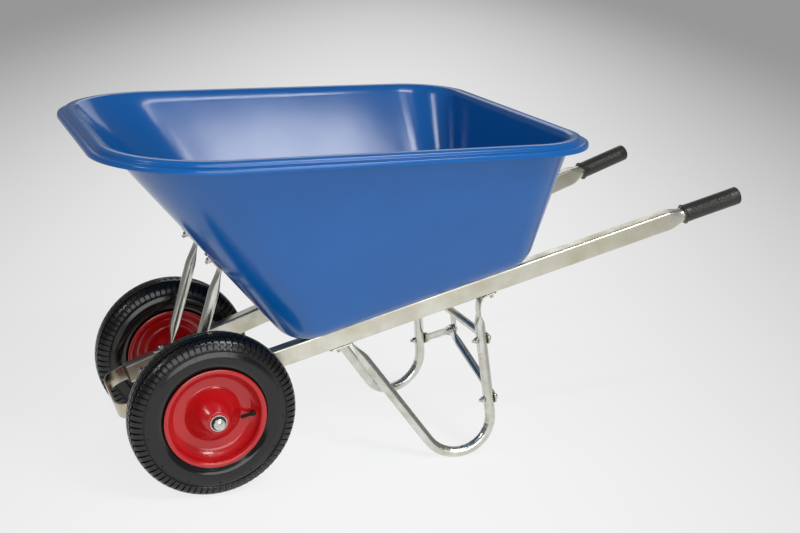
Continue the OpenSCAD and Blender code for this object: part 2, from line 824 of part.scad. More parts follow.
// A tube with flattened ends, and a lug in its middle that takes the braces
module cross_bar() {
    lug_head = (brace_d - brace_wall) / 2;
    color("darkseagreen")
        difference() {
            on_braces()
                translate([brace_seat, 0, brace_height]) {
                    translate([0, -brace_upper[1], 0])
                        flat_ended_tube(2 * brace_upper[1]);
                    translate([0, -lug_w / 2, -apex_drop])
                        cube([lug_t, lug_w, apex_drop - lug_head]);
                    translate([0, 0, -apex_drop])
                        along_x()
                            cylinder(h = lug_t, d = lug_w);
                }
            for (s = [left, right])
                on_side(s)
                    brace_holes();
            apex_hole();
        }
}

module apex_hole() {
    on_braces()
        translate([0, 0, apex_z])
            along_x()
                drill(4 * leg_d);
}

// A tube from the leg's low bolt to the lug, the left one in front of the right one
module brace(s) {
    stack = (brace_t + soft_gap) * (s == left ? 2 : 1);
    color("lightgray")
        on_side(s)
            difference() {
                on_braces()
                    translate([brace_seat, brace_origin[1], 0])
                        rotate([atan2(apex_z, -brace_origin[1]), 0, 0])
                            flat_ended_tube(norm([brace_origin[1], apex_z]), -stack);
                brace_holes();
                apex_hole();
            }
}

// A tube along Y, its flattened ends round the places zero and length, the far one jogged along X
module flat_ended_tube(length, jog = 0) {
    lean = atan2(jog, length);
    from = brace_flat + brace_press;
    to = length - from;
    plug_r = brace_d / 2 - seat_gap;
    difference() {
        brace_run(lean, brace_d / 2, from, to);
        brace_run(lean, brace_d / 2 - brace_wall, from + slice, to - slice);
        translate([brace_t / 2, from + brace_d, -brace_d])
            cylinder(h = brace_d, d = drain_d);
    }
    hull() {
        translate([0, brace_flat, 0])
            brace_root();
        brace_run(lean, plug_r, from + slice / 4, from + slice / 2, $fn = hull_sides);
    }
    hull() {
        translate([jog, length - brace_flat, 0])
            brace_root();
        brace_run(lean, plug_r, to - slice / 2, to - slice / 4, $fn = hull_sides);
    }
    brace_end();
    translate([jog, length, 0])
        mirror([0, 1, 0])
            brace_end();
}

module brace_run(lean, r, from, to) {
    translate([brace_t / 2, 0, 0])
        rotate([-90, 0, -lean])
            translate([0, 0, from])
                cylinder(h = to - from, r = r);
}

module brace_end() {
    along_x()
        cylinder(h = brace_t, d = brace_w);
    translate([0, 0, -brace_w / 2])
        cube([brace_t, brace_flat, brace_w]);
}

// The slice inside a flat end from which the round run grows
module brace_root() {
    translate([brace_t / 2, 0, 0])
        cube([brace_t - 2 * seat_gap, slice, brace_w - 2 * seat_gap], center = true);
}

// The axle reaches into the end caps
module axle() {
    half = track / 2 + hub_half + soft_gap + cap_depth;
    color("silver")
        at_axle()
            rotate([90, 0, 0])
                translate([0, 0, -half])
                    cylinder(h = 2 * half, r = axle_r);
}

// A strap that passes under the axle and is bolted up to the rail
module saddle(s) {
    inner_r = axle_r + seat_gap;
    outer_r = inner_r + saddle_t;
    flange_z = rail_under - saddle_t - seat_gap;
    reach = saddle_reach + hex_d / 2;
    color("gainsboro")
        on_side(s)
            difference() {
                on_rail_plane()
                    translate([0, rail_gap / 2 + saddle_w / 2, 0])
                        rotate([90, 0, 0])
                            linear_extrude(height = saddle_w)
                                difference() {
                                    union() {
                                        circle(r = outer_r);
                                        translate([-reach, flange_z])
                                            square([2 * reach, saddle_t]);
                                        translate([-outer_r, 0])
                                            square([2 * outer_r, flange_z + saddle_t]);
                                    }
                                    circle(r = inner_r);
                                    translate([-inner_r, 0])
                                        square([2 * inner_r, outer_r + overrun]);
                                    translate([-outer_r, flange_z + saddle_t])
                                        square([2 * outer_r, outer_r]);
                                }
                for (run = [-saddle_reach, saddle_reach])
                    on_rail(run)
                        drill(2 * rail_h);
            }
}

// A sleeve on the axle that keeps the hub clear of the rail and the saddle
module spacer(s) {
    rail_side = rail_w / 2 / cos(rail_splay) + spacer_d / 2 * tan(rail_splay);
    from = rail_gap / 2 + max(rail_side, saddle_w / 2) + seat_gap;
    to = track / 2 - hub_half - soft_gap;
    color("silver")
        on_side(s)
            at_axle()
                translate([0, from, 0])
                    rotate([-90, 0, 0])
                        difference() {
                            cylinder(h = to - from, d = spacer_d);
                            translate([0, 0, -overrun])
                                cylinder(h = to - from + 2 * overrun, r = axle_r + seat_gap);
                        }
}

module cap(s) {
    cap_r = cap_d / 2;
    ball_r = (cap_r * cap_r + cap_dome * cap_dome) / (2 * cap_dome);
    lid = cap_d / 2 - axle_r;
    body_h = cap_depth + lid / 2;
    color("silver")
        on_side(s)
            on_wheel()
                translate([0, 0, hub_half + soft_gap])
                    difference() {
                        union() {
                            cylinder(h = body_h, r = cap_r);
                            intersection() {
                                translate([0, 0, body_h + cap_dome - ball_r])
                                    sphere(r = ball_r);
                                translate([0, 0, body_h])
                                    cylinder(h = cap_dome + overrun, r = cap_r + overrun);
                            }
                        }
                        translate([0, 0, -overrun])
                            cylinder(h = overrun + cap_depth + seat_gap, r = axle_r + seat_gap);
                    }
}

module floor_bolts() {
    grip = tray_t + rail_h + tab_t + 2 * seat_gap;
    color("silver")
        for (s = [left, right], run = floor_bolt_places)
            on_side(s)
                on_rail(run, rail_h / 2 + seat_gap + tray_t)
                    dome_bolt(grip);
}

module saddle_bolts() {
    under = rail_h + saddle_t + seat_gap;
    tab_stack = tab_t + seat_gap;
    color("silver")
        for (s = [left, right])
            on_side(s) {
                on_rail(-saddle_reach, rail_h / 2 + tab_stack)
                    hex_bolt(under + tab_stack);
                on_rail(saddle_reach, rail_h / 2)
                    hex_bolt(under);
            }
}

module nose_bolts() {
    color("silver")
        for (s = [left, right])
            on_side(s)
                on_rail(nose_bolt_in - rail_front)
                    translate([0, rail_w / 2, 0])
                        rotate([-90, 0, 0])
                            hex_bolt(rail_w);
}

// The heads lie inside the tray, the nuts on the struts
module strut_bolts() {
    color("silver")
        for (s = [left, right])
            on_side(s)
                on_front_wall(tab_bolt)
                    translate([0, 0, -strut_seat - tray_t])
                        mirror([0, 0, 1])
                            dome_bolt(tray_t + seat_gap + tab_t);
}

// The heads lie behind the legs, the nuts in front
module brace_bolts() {
    color("silver")
        for (s = [left, right])
            on_side(s)
                on_braces()
                    for (p = [[brace_origin[1], 0], [brace_upper[1], brace_height]])
                        translate([brace_seat + brace_t, p[0], p[1]])
                            along_x()
                                hex_bolt(leg_d + brace_t + seat_gap);
}

module centre_bolt() {
    stack = lug_t + 2 * (brace_t + soft_gap);
    color("silver")
        on_braces()
            translate([brace_seat + lug_t, 0, apex_z])
                along_x()
                    hex_bolt(stack);
}

// The outline of the tyre's section: crown, sidewall, bead, lining, then the other half
module tyre(s) {
    wall_shares = [[1, 0], [1, 0.2], [0.96, 0.54], [0.877, 0.78], [0.74, 0.915], [0.6, 0.975], [0.42, 1],
        [0.2, 0.975]];
    bead_shares = [[1.2, 0.88], [0.85, 0.85], [0.26, 0.83], [0, 0.74], [0, 0.5]];
    lining_shares = [[0, 0.82], [0.2, 0.96], [0.52, 1], [0.78, 0.87], [0.93, 0.62], [1, 0.3], [1, 0]];
    lining_r = tyre_r - tread_t;
    half = concat(
        [for (p = wall_shares) [rim_r + p[0] * (tyre_r - rim_r), p[1] * tyre_half]],
        [for (p = bead_shares) [bead_r + p[0] * (rim_r - bead_r), p[1] * rim_half]],
        [for (p = lining_shares) [rim_r + p[0] * (lining_r - rim_r), p[1] * (tyre_half - tyre_wall)]]);
    other = [for (i = [len(half) - 2:-1:1]) [half[i][0], -half[i][1]]];
    color("dimgray")
        on_side(s)
            on_wheel()
                rotate_extrude()
                    polygon(concat(half, other));
}

module inner_tube(s) {
    color("black")
        on_side(s)
            on_wheel()
                rotate_extrude()
                    translate([tube_ring_r, 0])
                        difference() {
                            circle(r = tube_r);
                            circle(r = tube_r - tube_wall);
                        }
}

// The visible face of a pressing, from the flange to the hub
function rim_line() = let (
        flange_shares = [[1, 0.97], [0.75, 1], [0.35, 0.97], [0.1, 0.88], [0, 0.75], [0, 0.5]],
        cone_shares = [[0.7, 0.28], [0.35, 0.12]],
        bell_shares = [[1, 0], [0.86, 0.09], [0.66, 0.32], [0.47, 0.58], [0.3, 0.8], [0.14, 0.97],
            [0.08, 1], [0, 1]],
        ring_r = ring_d / 2, collar_r = hub_r + seat_gap, bell_width = bell_d / 2 - collar_r,
        bell_height = bell_top - rim_sheet)
    concat(
        [for (p = flange_shares) [bead_seat_r + p[0] * (rim_r - bead_seat_r), p[1] * rim_half]],
        [for (p = cone_shares) [ring_r + p[0] * (bead_seat_r - ring_r), p[1] * rim_half]],
        [[ring_r, rim_sheet]],
        [for (p = bell_shares) [collar_r + p[0] * bell_width, rim_sheet + p[1] * bell_height]]);

module rim_pressing() {
    rotate_extrude()
        polygon(sheet(rim_line(), rim_sheet));
}

module rim_outer(s) {
    color("red")
        on_side(s)
            on_wheel()
                difference() {
                    rim_pressing();
                    on_valve()
                        cylinder(h = valve_len, d = valve_d + 2 * soft_gap, center = true);
                }
}

module rim_inner(s) {
    color("red")
        on_side(s)
            on_wheel()
                mirror([0, 0, 1])
                    rim_pressing();
}

module hub(s) {
    color("silver")
        on_side(s)
            on_wheel()
                difference() {
                    cylinder(h = hub_len, r = hub_r, center = true);
                    cylinder(h = hub_len + 2 * overrun, d = hub_bore, center = true);
                }
}

// A plain bush in one end of the hub, flush with it
module bush(s, end) {
    color("black")
        on_side(s)
            on_wheel()
                mirror([0, 0, end == left ? 1 : 0])
                    translate([0, 0, hub_half - bush_len])
                        difference() {
                            cylinder(h = bush_len, d = hub_bore - 2 * seat_gap);
                            translate([0, 0, -overrun])
                                cylinder(h = bush_len + 2 * overrun, r = axle_r + run_gap);
                        }
}

// The valve's frame: on the cone of the outer pressing, Z along the stem
module on_valve() {
    cone_r = (ring_d / 2 + bead_seat_r) / 2;
    cone_share = 0.19;
    rotate([0, 0, -valve_turn])
        translate([cone_r, 0, cone_share * rim_half])
            rotate([0, valve_tilt - 90, 0])
                children();
}

// The stem starts at the inner tube and has a wider cap at its end
module valve(s) {
    root = tube_ring_r - tube_r - (ring_d / 2 + bead_seat_r) / 2 - soft_gap;
    cap_share = 0.35;
    waist_share = 0.8;
    color("black")
        on_side(s)
            on_wheel()
                on_valve() {
                    translate([0, 0, -root])
                        cylinder(h = root + valve_len, d = valve_d * waist_share);
                    translate([0, 0, valve_len * (1 - cap_share)])
                        cylinder(h = valve_len * cap_share, d = valve_d);
                    cylinder(h = valve_len / 2, d1 = valve_d, d2 = valve_d * waist_share);
                }
}

tray();
rail(left);  // rail_left
rail(right);  // rail_right
grip(left);  // grip_left
grip(right);  // grip_right
nose_bar();
strut(left);  // strut_left
strut(right);  // strut_right
leg(left);  // leg_left
leg(right);  // leg_right
cross_bar();
brace(left);  // brace_left
brace(right);  // brace_right
axle();
saddle(left);  // saddle_left
saddle(right);  // saddle_right
spacer(left);  // spacer_left
spacer(right);  // spacer_right
cap(left);  // cap_left
cap(right);  // cap_right
floor_bolts();
saddle_bolts();
nose_bolts();
strut_bolts();
brace_bolts();
centre_bolt();
tyre(left);  // tyre_left
tyre(right);  // tyre_right
inner_tube(left);  // inner_tube_left
inner_tube(right);  // inner_tube_right
rim_outer(left);  // rim_outer_left
rim_outer(right);  // rim_outer_right
rim_inner(left);  // rim_inner_left
rim_inner(right);  // rim_inner_right
hub(left);  // hub_left
hub(right);  // hub_right
bush(left, right);  // bush_outer_left
bush(right, right);  // bush_outer_right
bush(left, left);  // bush_inner_left
bush(right, left);  // bush_inner_right
valve(left);  // valve_left
valve(right);  // valve_right
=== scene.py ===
# %% [markdown]
# # A two wheel wheelbarrow
# This lesson dresses a finished construction model: a deep blue tray on two box rails, two red
# steel wheels with rubber tyres, bent tube legs and black grips. The construction model is loaded
# as a fixed frame in metres, and every piece made here rides on one of its bodies.

import bmesh
import bpy
import numpy as np
from mathutils import Matrix, Vector


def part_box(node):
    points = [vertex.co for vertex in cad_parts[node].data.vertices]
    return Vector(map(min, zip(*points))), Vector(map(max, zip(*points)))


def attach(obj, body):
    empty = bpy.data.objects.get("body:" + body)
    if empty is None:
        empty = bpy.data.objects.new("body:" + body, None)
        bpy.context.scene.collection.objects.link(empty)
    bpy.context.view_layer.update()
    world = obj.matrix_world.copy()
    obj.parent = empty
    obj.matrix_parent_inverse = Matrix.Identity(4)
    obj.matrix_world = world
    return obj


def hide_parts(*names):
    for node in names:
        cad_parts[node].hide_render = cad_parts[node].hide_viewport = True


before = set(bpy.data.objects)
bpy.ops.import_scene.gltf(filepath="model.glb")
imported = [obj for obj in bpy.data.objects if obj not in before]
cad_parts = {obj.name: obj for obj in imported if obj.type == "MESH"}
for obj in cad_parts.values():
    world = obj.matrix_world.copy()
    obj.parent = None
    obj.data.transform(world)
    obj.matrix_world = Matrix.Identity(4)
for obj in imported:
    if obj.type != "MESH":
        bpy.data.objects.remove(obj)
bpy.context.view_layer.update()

# %% [markdown]
# ## From a grid of points to a mesh
# Nearly every piece of a wheelbarrow is one skin: a ring of points carried along a path, or a
# profile turned round an axle. Such a skin is a grid, so one helper can join any grid to faces.
# Sizes are written in millimetres, as on a workshop drawing, and turned to metres at the end.

# %% Grid helpers
mm = 0.001


def skin(points, rows_closed=False):
    """A grid of rows x columns x 3 as (points, faces): each cell is a quad, the columns close on
    themselves, and the first and last of open rows are closed by one flat face each. The faces are
    a list of arrays, one array for the quads and one for each closing face."""
    rows, cols, _ = points.shape
    r = np.arange(rows if rows_closed else rows - 1)[:, None]
    c = np.arange(cols)[None, :]
    r2, c2 = (r + 1) % rows, (c + 1) % cols
    cells = np.stack([r * cols + c, r * cols + c2, r2 * cols + c2, r2 * cols + c], -1)
    faces = [cells.reshape(-1, 4)]
    if not rows_closed:
        faces += [np.arange(cols)[None, ::-1], np.arange((rows - 1) * cols, rows * cols)[None]]
    return points.reshape(-1, 3), faces


def make_piece(name, skins, finishes, body, nodes=(), sharp=30):
    """One object from several skins, each with its finish: points in millimetres become metres,
    normals are turned outwards, and edges sharper than an angle in degrees stay crisp."""
    finishes = finishes if isinstance(finishes, list) else [finishes] * len(skins)
    kinds = list(dict.fromkeys(finishes))
    points, faces, marks, start = [], [], [], 0
    for (flat, blocks), finish in zip(skins, finishes):
        points.append(flat * mm)
        for block in blocks:
            faces += (block + start).tolist()
            marks += [kinds.index(finish)] * len(block)
        start += len(flat)
    mesh = bpy.data.meshes.new(name)
    mesh.from_pydata(np.vstack(points).tolist(), [], faces)
    for kind in kinds:
        mesh.materials.append(kind)
    mesh.polygons.foreach_set("material_index", marks)
    work = bmesh.new()
    work.from_mesh(mesh)
    bmesh.ops.recalc_face_normals(work, faces=work.faces)
    work.to_mesh(mesh)
    work.free()
    mesh.shade_smooth()
    mesh.set_sharp_from_angle(angle=np.radians(sharp))
    piece = bpy.data.objects.new(name, mesh)
    bpy.context.scene.collection.objects.link(piece)
    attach(piece, body)
    if nodes:
        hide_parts(*nodes)
    print(name, len(mesh.vertices), "points", len(mesh.polygons), "faces")
    return piece


print("a millimetre is", mm, "metres")

# %% [markdown]
# ## Frames
# A maker measures along a rail or across a leg, not along the room. So each group of pieces gets a
# frame, a 4 x 4 matrix made of shifts and turns, and its points are worked out there and then put
# in place. The left side is the right side with Y turned over.

# %% Frame helpers
def shift(x=0.0, y=0.0, z=0.0):
    """The matrix that moves a point by x, y and z."""
    out = np.eye(4)
    out[:3, 3] = x, y, z
    return out


def turn(axis, degrees):
    """The matrix that turns a point about X, Y or Z."""
    return np.array(Matrix.Rotation(np.radians(degrees), 4, axis))


def put(points, place, side=1):
    """Points taken through a frame, then turned over to the left side where side is -1."""
    out = points @ place[:3, :3].T + place[:3, 3]
    return out * np.array([1, side, 1])


sides = {"left": -1, "right": 1}
axle_low, axle_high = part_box("axle")
axle_x = (axle_low.x + axle_high.x) / 2 / mm
tyre_r = (axle_low.z + axle_high.z) / 2 / mm
print("axle at", round(axle_x, 1), "height", round(tyre_r, 1))

# %% [markdown]
# The rails lie in one plane that climbs from the axle to the grips, and each is splayed outwards
# in that plane. Their frame has X along the rail and Z square to the plane.

# %% Rail frame
rail_pitch, rail_splay, rail_gap = 16.9, 6.3, 228.5
rail_h, rail_w, rail_wall, rail_corner = 45.0, 32.0, 2.0, 5.0
rail_front, rail_back, neck_len, grip_len = 126.0, 1174.0, 44.0, 150.0
axle_r, seat_gap = 10.0, 0.1
rail_lift = axle_r + seat_gap + rail_h / 2
grip_start = rail_back + neck_len
ground = shift(axle_x)
rail_plane = shift(axle_x, 0, tyre_r) @ turn("Y", -rail_pitch)


def on_rail(run=0.0, up=0.0):
    """The frame on the right rail's middle line, run past the axle and up from the middle."""
    splayed = rail_plane @ shift(0, rail_gap / 2, rail_lift) @ turn("Z", rail_splay)
    return splayed @ shift(run, 0, up)


print("grip starts at", np.round(on_rail(grip_start)[:3, 3], 1))

# %% [markdown]
# ## Lines, sections and sweeps
# Pressed and moulded sheet has no sharp corners, so its outlines are smooth lines through a few
# given points. Tubes and straps are a section carried along a bent path, and wheels are a profile
# turned round an axle. A few short helpers do it all.

# %% Line and sweep helpers
def unit(ways):
    """A direction, or each row of directions, divided by its length."""
    return ways / np.linalg.norm(ways, axis=-1, keepdims=True)


def smooth_line(knots, steps=8):
    """A Catmull-Rom line: between two knots a cubic whose end slopes are half the span of the
    neighbouring knots, sampled at steps points."""
    p = np.asarray(knots, float)
    p = np.vstack([2 * p[0] - p[1], p, 2 * p[-1] - p[-2]])
    t = (np.arange(steps) / steps)[None, :, None]
    a, b, c, d = (p[i:len(p) - 3 + i][:, None] for i in range(4))
    run = b + 0.5 * t * (c - a + t * (2 * a - 5 * b + 4 * c - d + t * (3 * (b - c) + d - a)))
    return np.vstack([run.reshape(-1, p.shape[1]), p[-2]])


def bent_path(corners, radii, steps=12):
    """Straight runs joined by arcs: at each inner corner the arc starts r tan(half the turn)
    before it, and swings from the first direction to the second."""
    p = np.asarray(corners, float)
    rows = [p[:1]]
    for before, at, after, r in zip(p[:-2], p[1:-1], p[2:], radii):
        d1, d2 = unit(at - before), unit(after - at)
        bend = np.arccos(np.clip(d1 @ d2, -1, 1))
        square = d2 - (d2 @ d1) * d1
        square /= max(np.linalg.norm(square), 1e-9)
        a = np.linspace(0, bend, steps)[:, None]
        rows.append(at - d1 * r * np.tan(bend / 2) + r * (np.sin(a) * d1 + (1 - np.cos(a)) * square))
    return np.vstack(rows + [p[-1:]])


def run_along(path):
    """The distance of each point of a path from its start: the running sum of its pieces' lengths."""
    return np.concatenate([[0], np.cumsum(np.linalg.norm(np.diff(path, axis=0), axis=1))])


def along(path, places):
    """Points of a path at given distances from its start."""
    return np.stack([np.interp(places, run_along(path), axis) for axis in path.T], -1)


def path_length(path):
    """The distance of a path's last point from its start, along the path."""
    return run_along(path)[-1]


def box_section(w, h, r, steps=6):
    """The outline of a w x h box with corners of radius r: quarter circles round four centres.
    Given one size per station it returns one outline per station."""
    w, h, r = (np.asarray(v, float).reshape(-1, 1) for v in (w, h, r))
    a = np.radians(np.linspace(0, 90, steps + 1) + 90 * np.arange(4)[:, None]).ravel()
    sx = np.repeat([1, -1, -1, 1], steps + 1)
    sy = np.repeat([1, 1, -1, -1], steps + 1)
    return np.stack([sx * (w / 2 - r) + r * np.cos(a), sy * (h / 2 - r) + r * np.sin(a)], -1)


def sweep(path, across, section):
    """A section carried along a path: its first axis lies towards across, made square to the
    path, and its second axis is square to both."""
    way = unit(np.gradient(path, axis=0))
    wide = unit(across - (way * across).sum(1, keepdims=True) * way)
    high = np.cross(way, wide)
    return path[:, None] + section[..., :1] * wide[:, None] + section[..., 1:] * high[:, None]


def thicken(line, sheet):
    """A second line that lies a sheet's thickness to the right of a first one, square to it."""
    way = unit(np.gradient(line, axis=0))
    return line + sheet * np.stack([way[:, 1], -way[:, 0]], -1)


def turned(profile, steps=96):
    """A profile of radius and height turned round Z: x = r cos, y = r sin."""
    a = np.linspace(0, 2 * np.pi, steps, endpoint=False)
    r, z = profile[:, 0, None], profile[:, 1, None]
    return np.stack([r * np.cos(a), r * np.sin(a), z + 0 * a], -1)


def ease(t):
    """A share that starts and stops gently: t t (3 - 2 t), held between 0 and 1."""
    t = np.clip(t, 0, 1)
    return t * t * (3 - 2 * t)


print("section of the rail:", box_section(rail_w, rail_h, rail_corner).shape[1], "points")

# %% [markdown]
# ## Finishes
# A finish starts from the real material and how its surface was made. All of them read Object
# coordinates, so a pattern has its true size in millimetres on every piece. One helper adds a node
# with its settings and links, and another turns the colours of a chart to linear light.

# %% Node helpers
def linear(code):
    """An sRGB hex colour as linear red, green, blue and alpha."""
    c = np.array([int(code[i:i + 2], 16) for i in (1, 3, 5)]) / 255
    c = np.where(c <= 0.04045, c / 12.92, ((c + 0.055) / 1.055) ** 2.4)
    return (*c.tolist(), 1.0)


def add(tree, kind, inputs, **settings):
    """A node of one kind: settings are its own properties, and each input takes a value or the
    output socket of another node."""
    node = tree.nodes.new(kind)
    for name, value in settings.items():
        setattr(node, name, value)
    for name, value in inputs.items():
        if isinstance(value, bpy.types.NodeSocket):
            tree.links.new(value, node.inputs[name])
        else:
            node.inputs[name].default_value = value
    return node


def new_finish(name, **constants):
    """A material with its node tree, its shader and the Object coordinates, and the constants
    that hold all over the surface set on the shader's own sockets."""
    finish = bpy.data.materials.new(name)
    finish.use_nodes = True
    tree = finish.node_tree
    shader = tree.nodes["Principled BSDF"]
    for socket, value in constants.items():
        shader.inputs[socket.replace("_", " ")].default_value = value
    spot = add(tree, "ShaderNodeTexCoord", {}).outputs["Object"]
    return finish, tree, shader, spot


def per_mm(size):
    """The Scale of a texture whose features are about size millimetres wide."""
    return 1 / (size * mm)


print("colour chart ready, for example", np.round(linear("#1f55a5"), 3))

# %% [markdown]
# ### Moulded polyethylene
# The tray is one heavy moulding in blue polyethylene. The tool was polished, so the skin is glossy,
# with the slight waviness that a cooling moulding takes on over a few centimetres, and a fine
# orange peel. Bump nodes give both, and a slow noise lets the gloss vary as it does on a real one.

# %% Tray finish
wave_mm, peel_mm = 160, 7
tray_plastic, tree, shader, spot = new_finish("moulded_polyethylene", IOR=1.51)
flow = add(tree, "ShaderNodeTexNoise", {"Vector": spot, "Scale": per_mm(wave_mm), "Detail": 3.0})
speck = add(tree, "ShaderNodeTexNoise", {"Vector": spot, "Scale": per_mm(peel_mm), "Detail": 2.0})
tint = add(tree, "ShaderNodeMix", {0: flow.outputs["Fac"], 6: linear("#0759a3"), 7: linear("#0d65b3")},
           data_type="RGBA")
gloss = add(tree, "ShaderNodeMapRange", {"Value": flow.outputs["Fac"], "From Min": 0.3, "From Max": 0.7,
                                         "To Min": 0.14, "To Max": 0.20})
peel = add(tree, "ShaderNodeBump", {"Height": speck.outputs["Fac"], "Strength": 0.04,
                                    "Distance": 0.4 * mm})
wave = add(tree, "ShaderNodeBump", {"Height": flow.outputs["Fac"], "Strength": 0.10, "Distance": 6 * mm,
                                    "Normal": peel.outputs["Normal"]})
tree.links.new(tint.outputs[2], shader.inputs["Base Color"])
tree.links.new(gloss.outputs["Result"], shader.inputs["Roughness"])
tree.links.new(wave.outputs["Normal"], shader.inputs["Normal"])
print("finish:", tray_plastic.name)

# %% [markdown]
# ### Zinc plated steel
# Rails, legs and struts are steel tube, plated with zinc and passivated. That leaves a bright grey
# metal with faint straw and pink clouds some centimetres wide, over the fine grain of the sheet. A
# painted picture would repeat from tube to tube, so noise makes the clouds. Straps, bolts and axle
# share the recipe with a little more or less polish.

# %% Zinc finishes
def zinc_finish(name, pale, straw, dull, shiny, cloud_mm):
    """Clouds of noise mix a pale and a straw metal colour and vary the polish, a slower noise adds a
    pink blush, and a fine noise lifts the surface."""
    finish, tree, shader, spot = new_finish(name, Metallic=1.0)
    blush_mm, grain_mm = 2.3 * cloud_mm, 3.0
    cloud = add(tree, "ShaderNodeTexNoise", {"Vector": spot, "Scale": per_mm(cloud_mm), "Detail": 4.0,
                                             "Roughness": 0.6})
    rose = add(tree, "ShaderNodeTexNoise", {"Vector": spot, "Scale": per_mm(blush_mm), "Detail": 2.0,
                                            "Distortion": 1.5})
    grain = add(tree, "ShaderNodeTexNoise", {"Vector": spot, "Scale": per_mm(grain_mm), "Detail": 5.0})
    mix = add(tree, "ShaderNodeMapRange", {"Value": cloud.outputs["Fac"], "From Min": 0.35,
                                           "From Max": 0.68})
    base = add(tree, "ShaderNodeMix", {0: mix.outputs["Result"], 6: linear(pale), 7: linear(straw)},
               data_type="RGBA")
    blush = add(tree, "ShaderNodeMapRange", {"Value": rose.outputs["Fac"], "From Min": 0.52,
                                             "From Max": 0.78, "To Max": 0.45})
    tinted = add(tree, "ShaderNodeMix", {0: blush.outputs["Result"], 6: base.outputs[2],
                                         7: linear("#c3b2ae")}, data_type="RGBA")
    polish = add(tree, "ShaderNodeMapRange", {"Value": cloud.outputs["Fac"], "From Min": 0.3,
                                              "From Max": 0.7, "To Min": shiny, "To Max": dull})
    tooth = add(tree, "ShaderNodeBump", {"Height": grain.outputs["Fac"], "Strength": 0.10,
                                         "Distance": 0.25 * mm})
    tree.links.new(tinted.outputs[2], shader.inputs["Base Color"])
    tree.links.new(polish.outputs["Result"], shader.inputs["Roughness"])
    tree.links.new(tooth.outputs["Normal"], shader.inputs["Normal"])
    return finish


rail_zinc = zinc_finish("zinc_plated_rail_steel", "#e6e5d8", "#d0ccb5", 0.42, 0.26, 70)
tube_zinc = zinc_finish("zinc_plated_tube_steel", "#e0e1da", "#c6c8b9", 0.30, 0.16, 38)
strap_zinc = zinc_finish("zinc_plated_strap_steel", "#d2cebd", "#b5ac92", 0.34, 0.20, 45)
bolt_zinc = zinc_finish("bright_zinc_fasteners", "#dcdcd6", "#c4c3b6", 0.30, 0.18, 9)
turned_steel = zinc_finish("turned_axle_steel", "#dad9d4", "#c2c1ba", 0.26, 0.16, 14)
zincs = (rail_zinc, tube_zinc, strap_zinc, bolt_zinc, turned_steel)
print("zinc finishes:", [finish.name for finish in zincs])

# %% [markdown]
# ### Red enamel
# The wheel pressings are stove enamelled: a thick glossy coat over bare sheet, red to the eye with a
# hard clear reflection. A faint ripple in the coat keeps the highlights from looking machined.

# %% Wheel finish
ripple_mm, run_mm = 11, 60
red_enamel, tree, shader, spot = new_finish("stoved_red_enamel", IOR=1.52, Coat_Weight=0.35,
                                            Coat_Roughness=0.05)
ripple = add(tree, "ShaderNodeTexNoise", {"Vector": spot, "Scale": per_mm(ripple_mm), "Detail": 2.0})
pool = add(tree, "ShaderNodeTexNoise", {"Vector": spot, "Scale": per_mm(run_mm), "Detail": 3.0})
tint = add(tree, "ShaderNodeMix", {0: pool.outputs["Fac"], 6: linear("#b80d14"), 7: linear("#c7171b")},
           data_type="RGBA")
gloss = add(tree, "ShaderNodeMapRange", {"Value": pool.outputs["Fac"], "From Min": 0.3, "From Max": 0.7,
                                         "To Min": 0.16, "To Max": 0.24})
coat = add(tree, "ShaderNodeBump", {"Height": ripple.outputs["Fac"], "Strength": 0.05,
                                    "Distance": 0.4 * mm})
tree.links.new(tint.outputs[2], shader.inputs["Base Color"])
tree.links.new(gloss.outputs["Result"], shader.inputs["Roughness"])
tree.links.new(coat.outputs["Normal"], shader.inputs["Normal"])
print("finish:", red_enamel.name)

# %% [markdown]
# ### Rubber
# Tyre, grip and valve rubber are all carbon black compounds. Fresh from the mould a tyre has a low
# sheen on its tread and a smoother, shinier wall, while a grip is duller and a shade lighter. Noise
# in the roughness and a fine bump stand for the moulded tooth of the surface. The black nylon of the
# wheel bushes has the same kind of skin, so it is made by the same recipe.

# %% Rubber finishes
def rubber_finish(name, dark, light, shiny, dull, tooth_mm, tooth):
    """A black compound: a slow noise mixes two near blacks and two roughness values, and a fine
    noise of the given size lifts the surface."""
    finish, tree, shader, spot = new_finish(name, IOR=1.5)
    bloom_mm = 55
    bloom = add(tree, "ShaderNodeTexNoise", {"Vector": spot, "Scale": per_mm(bloom_mm), "Detail": 4.0})
    fine = add(tree, "ShaderNodeTexNoise", {"Vector": spot, "Scale": per_mm(tooth_mm), "Detail": 3.0})
    tint = add(tree, "ShaderNodeMix", {0: bloom.outputs["Fac"], 6: linear(dark), 7: linear(light)},
               data_type="RGBA")
    sheen = add(tree, "ShaderNodeMapRange", {"Value": bloom.outputs["Fac"], "From Min": 0.3,
                                             "From Max": 0.7, "To Min": shiny, "To Max": dull})
    skin_bump = add(tree, "ShaderNodeBump", {"Height": fine.outputs["Fac"], "Strength": tooth,
                                             "Distance": 0.3 * mm})
    tree.links.new(tint.outputs[2], shader.inputs["Base Color"])
    tree.links.new(sheen.outputs["Result"], shader.inputs["Roughness"])
    tree.links.new(skin_bump.outputs["Normal"], shader.inputs["Normal"])
    return finish


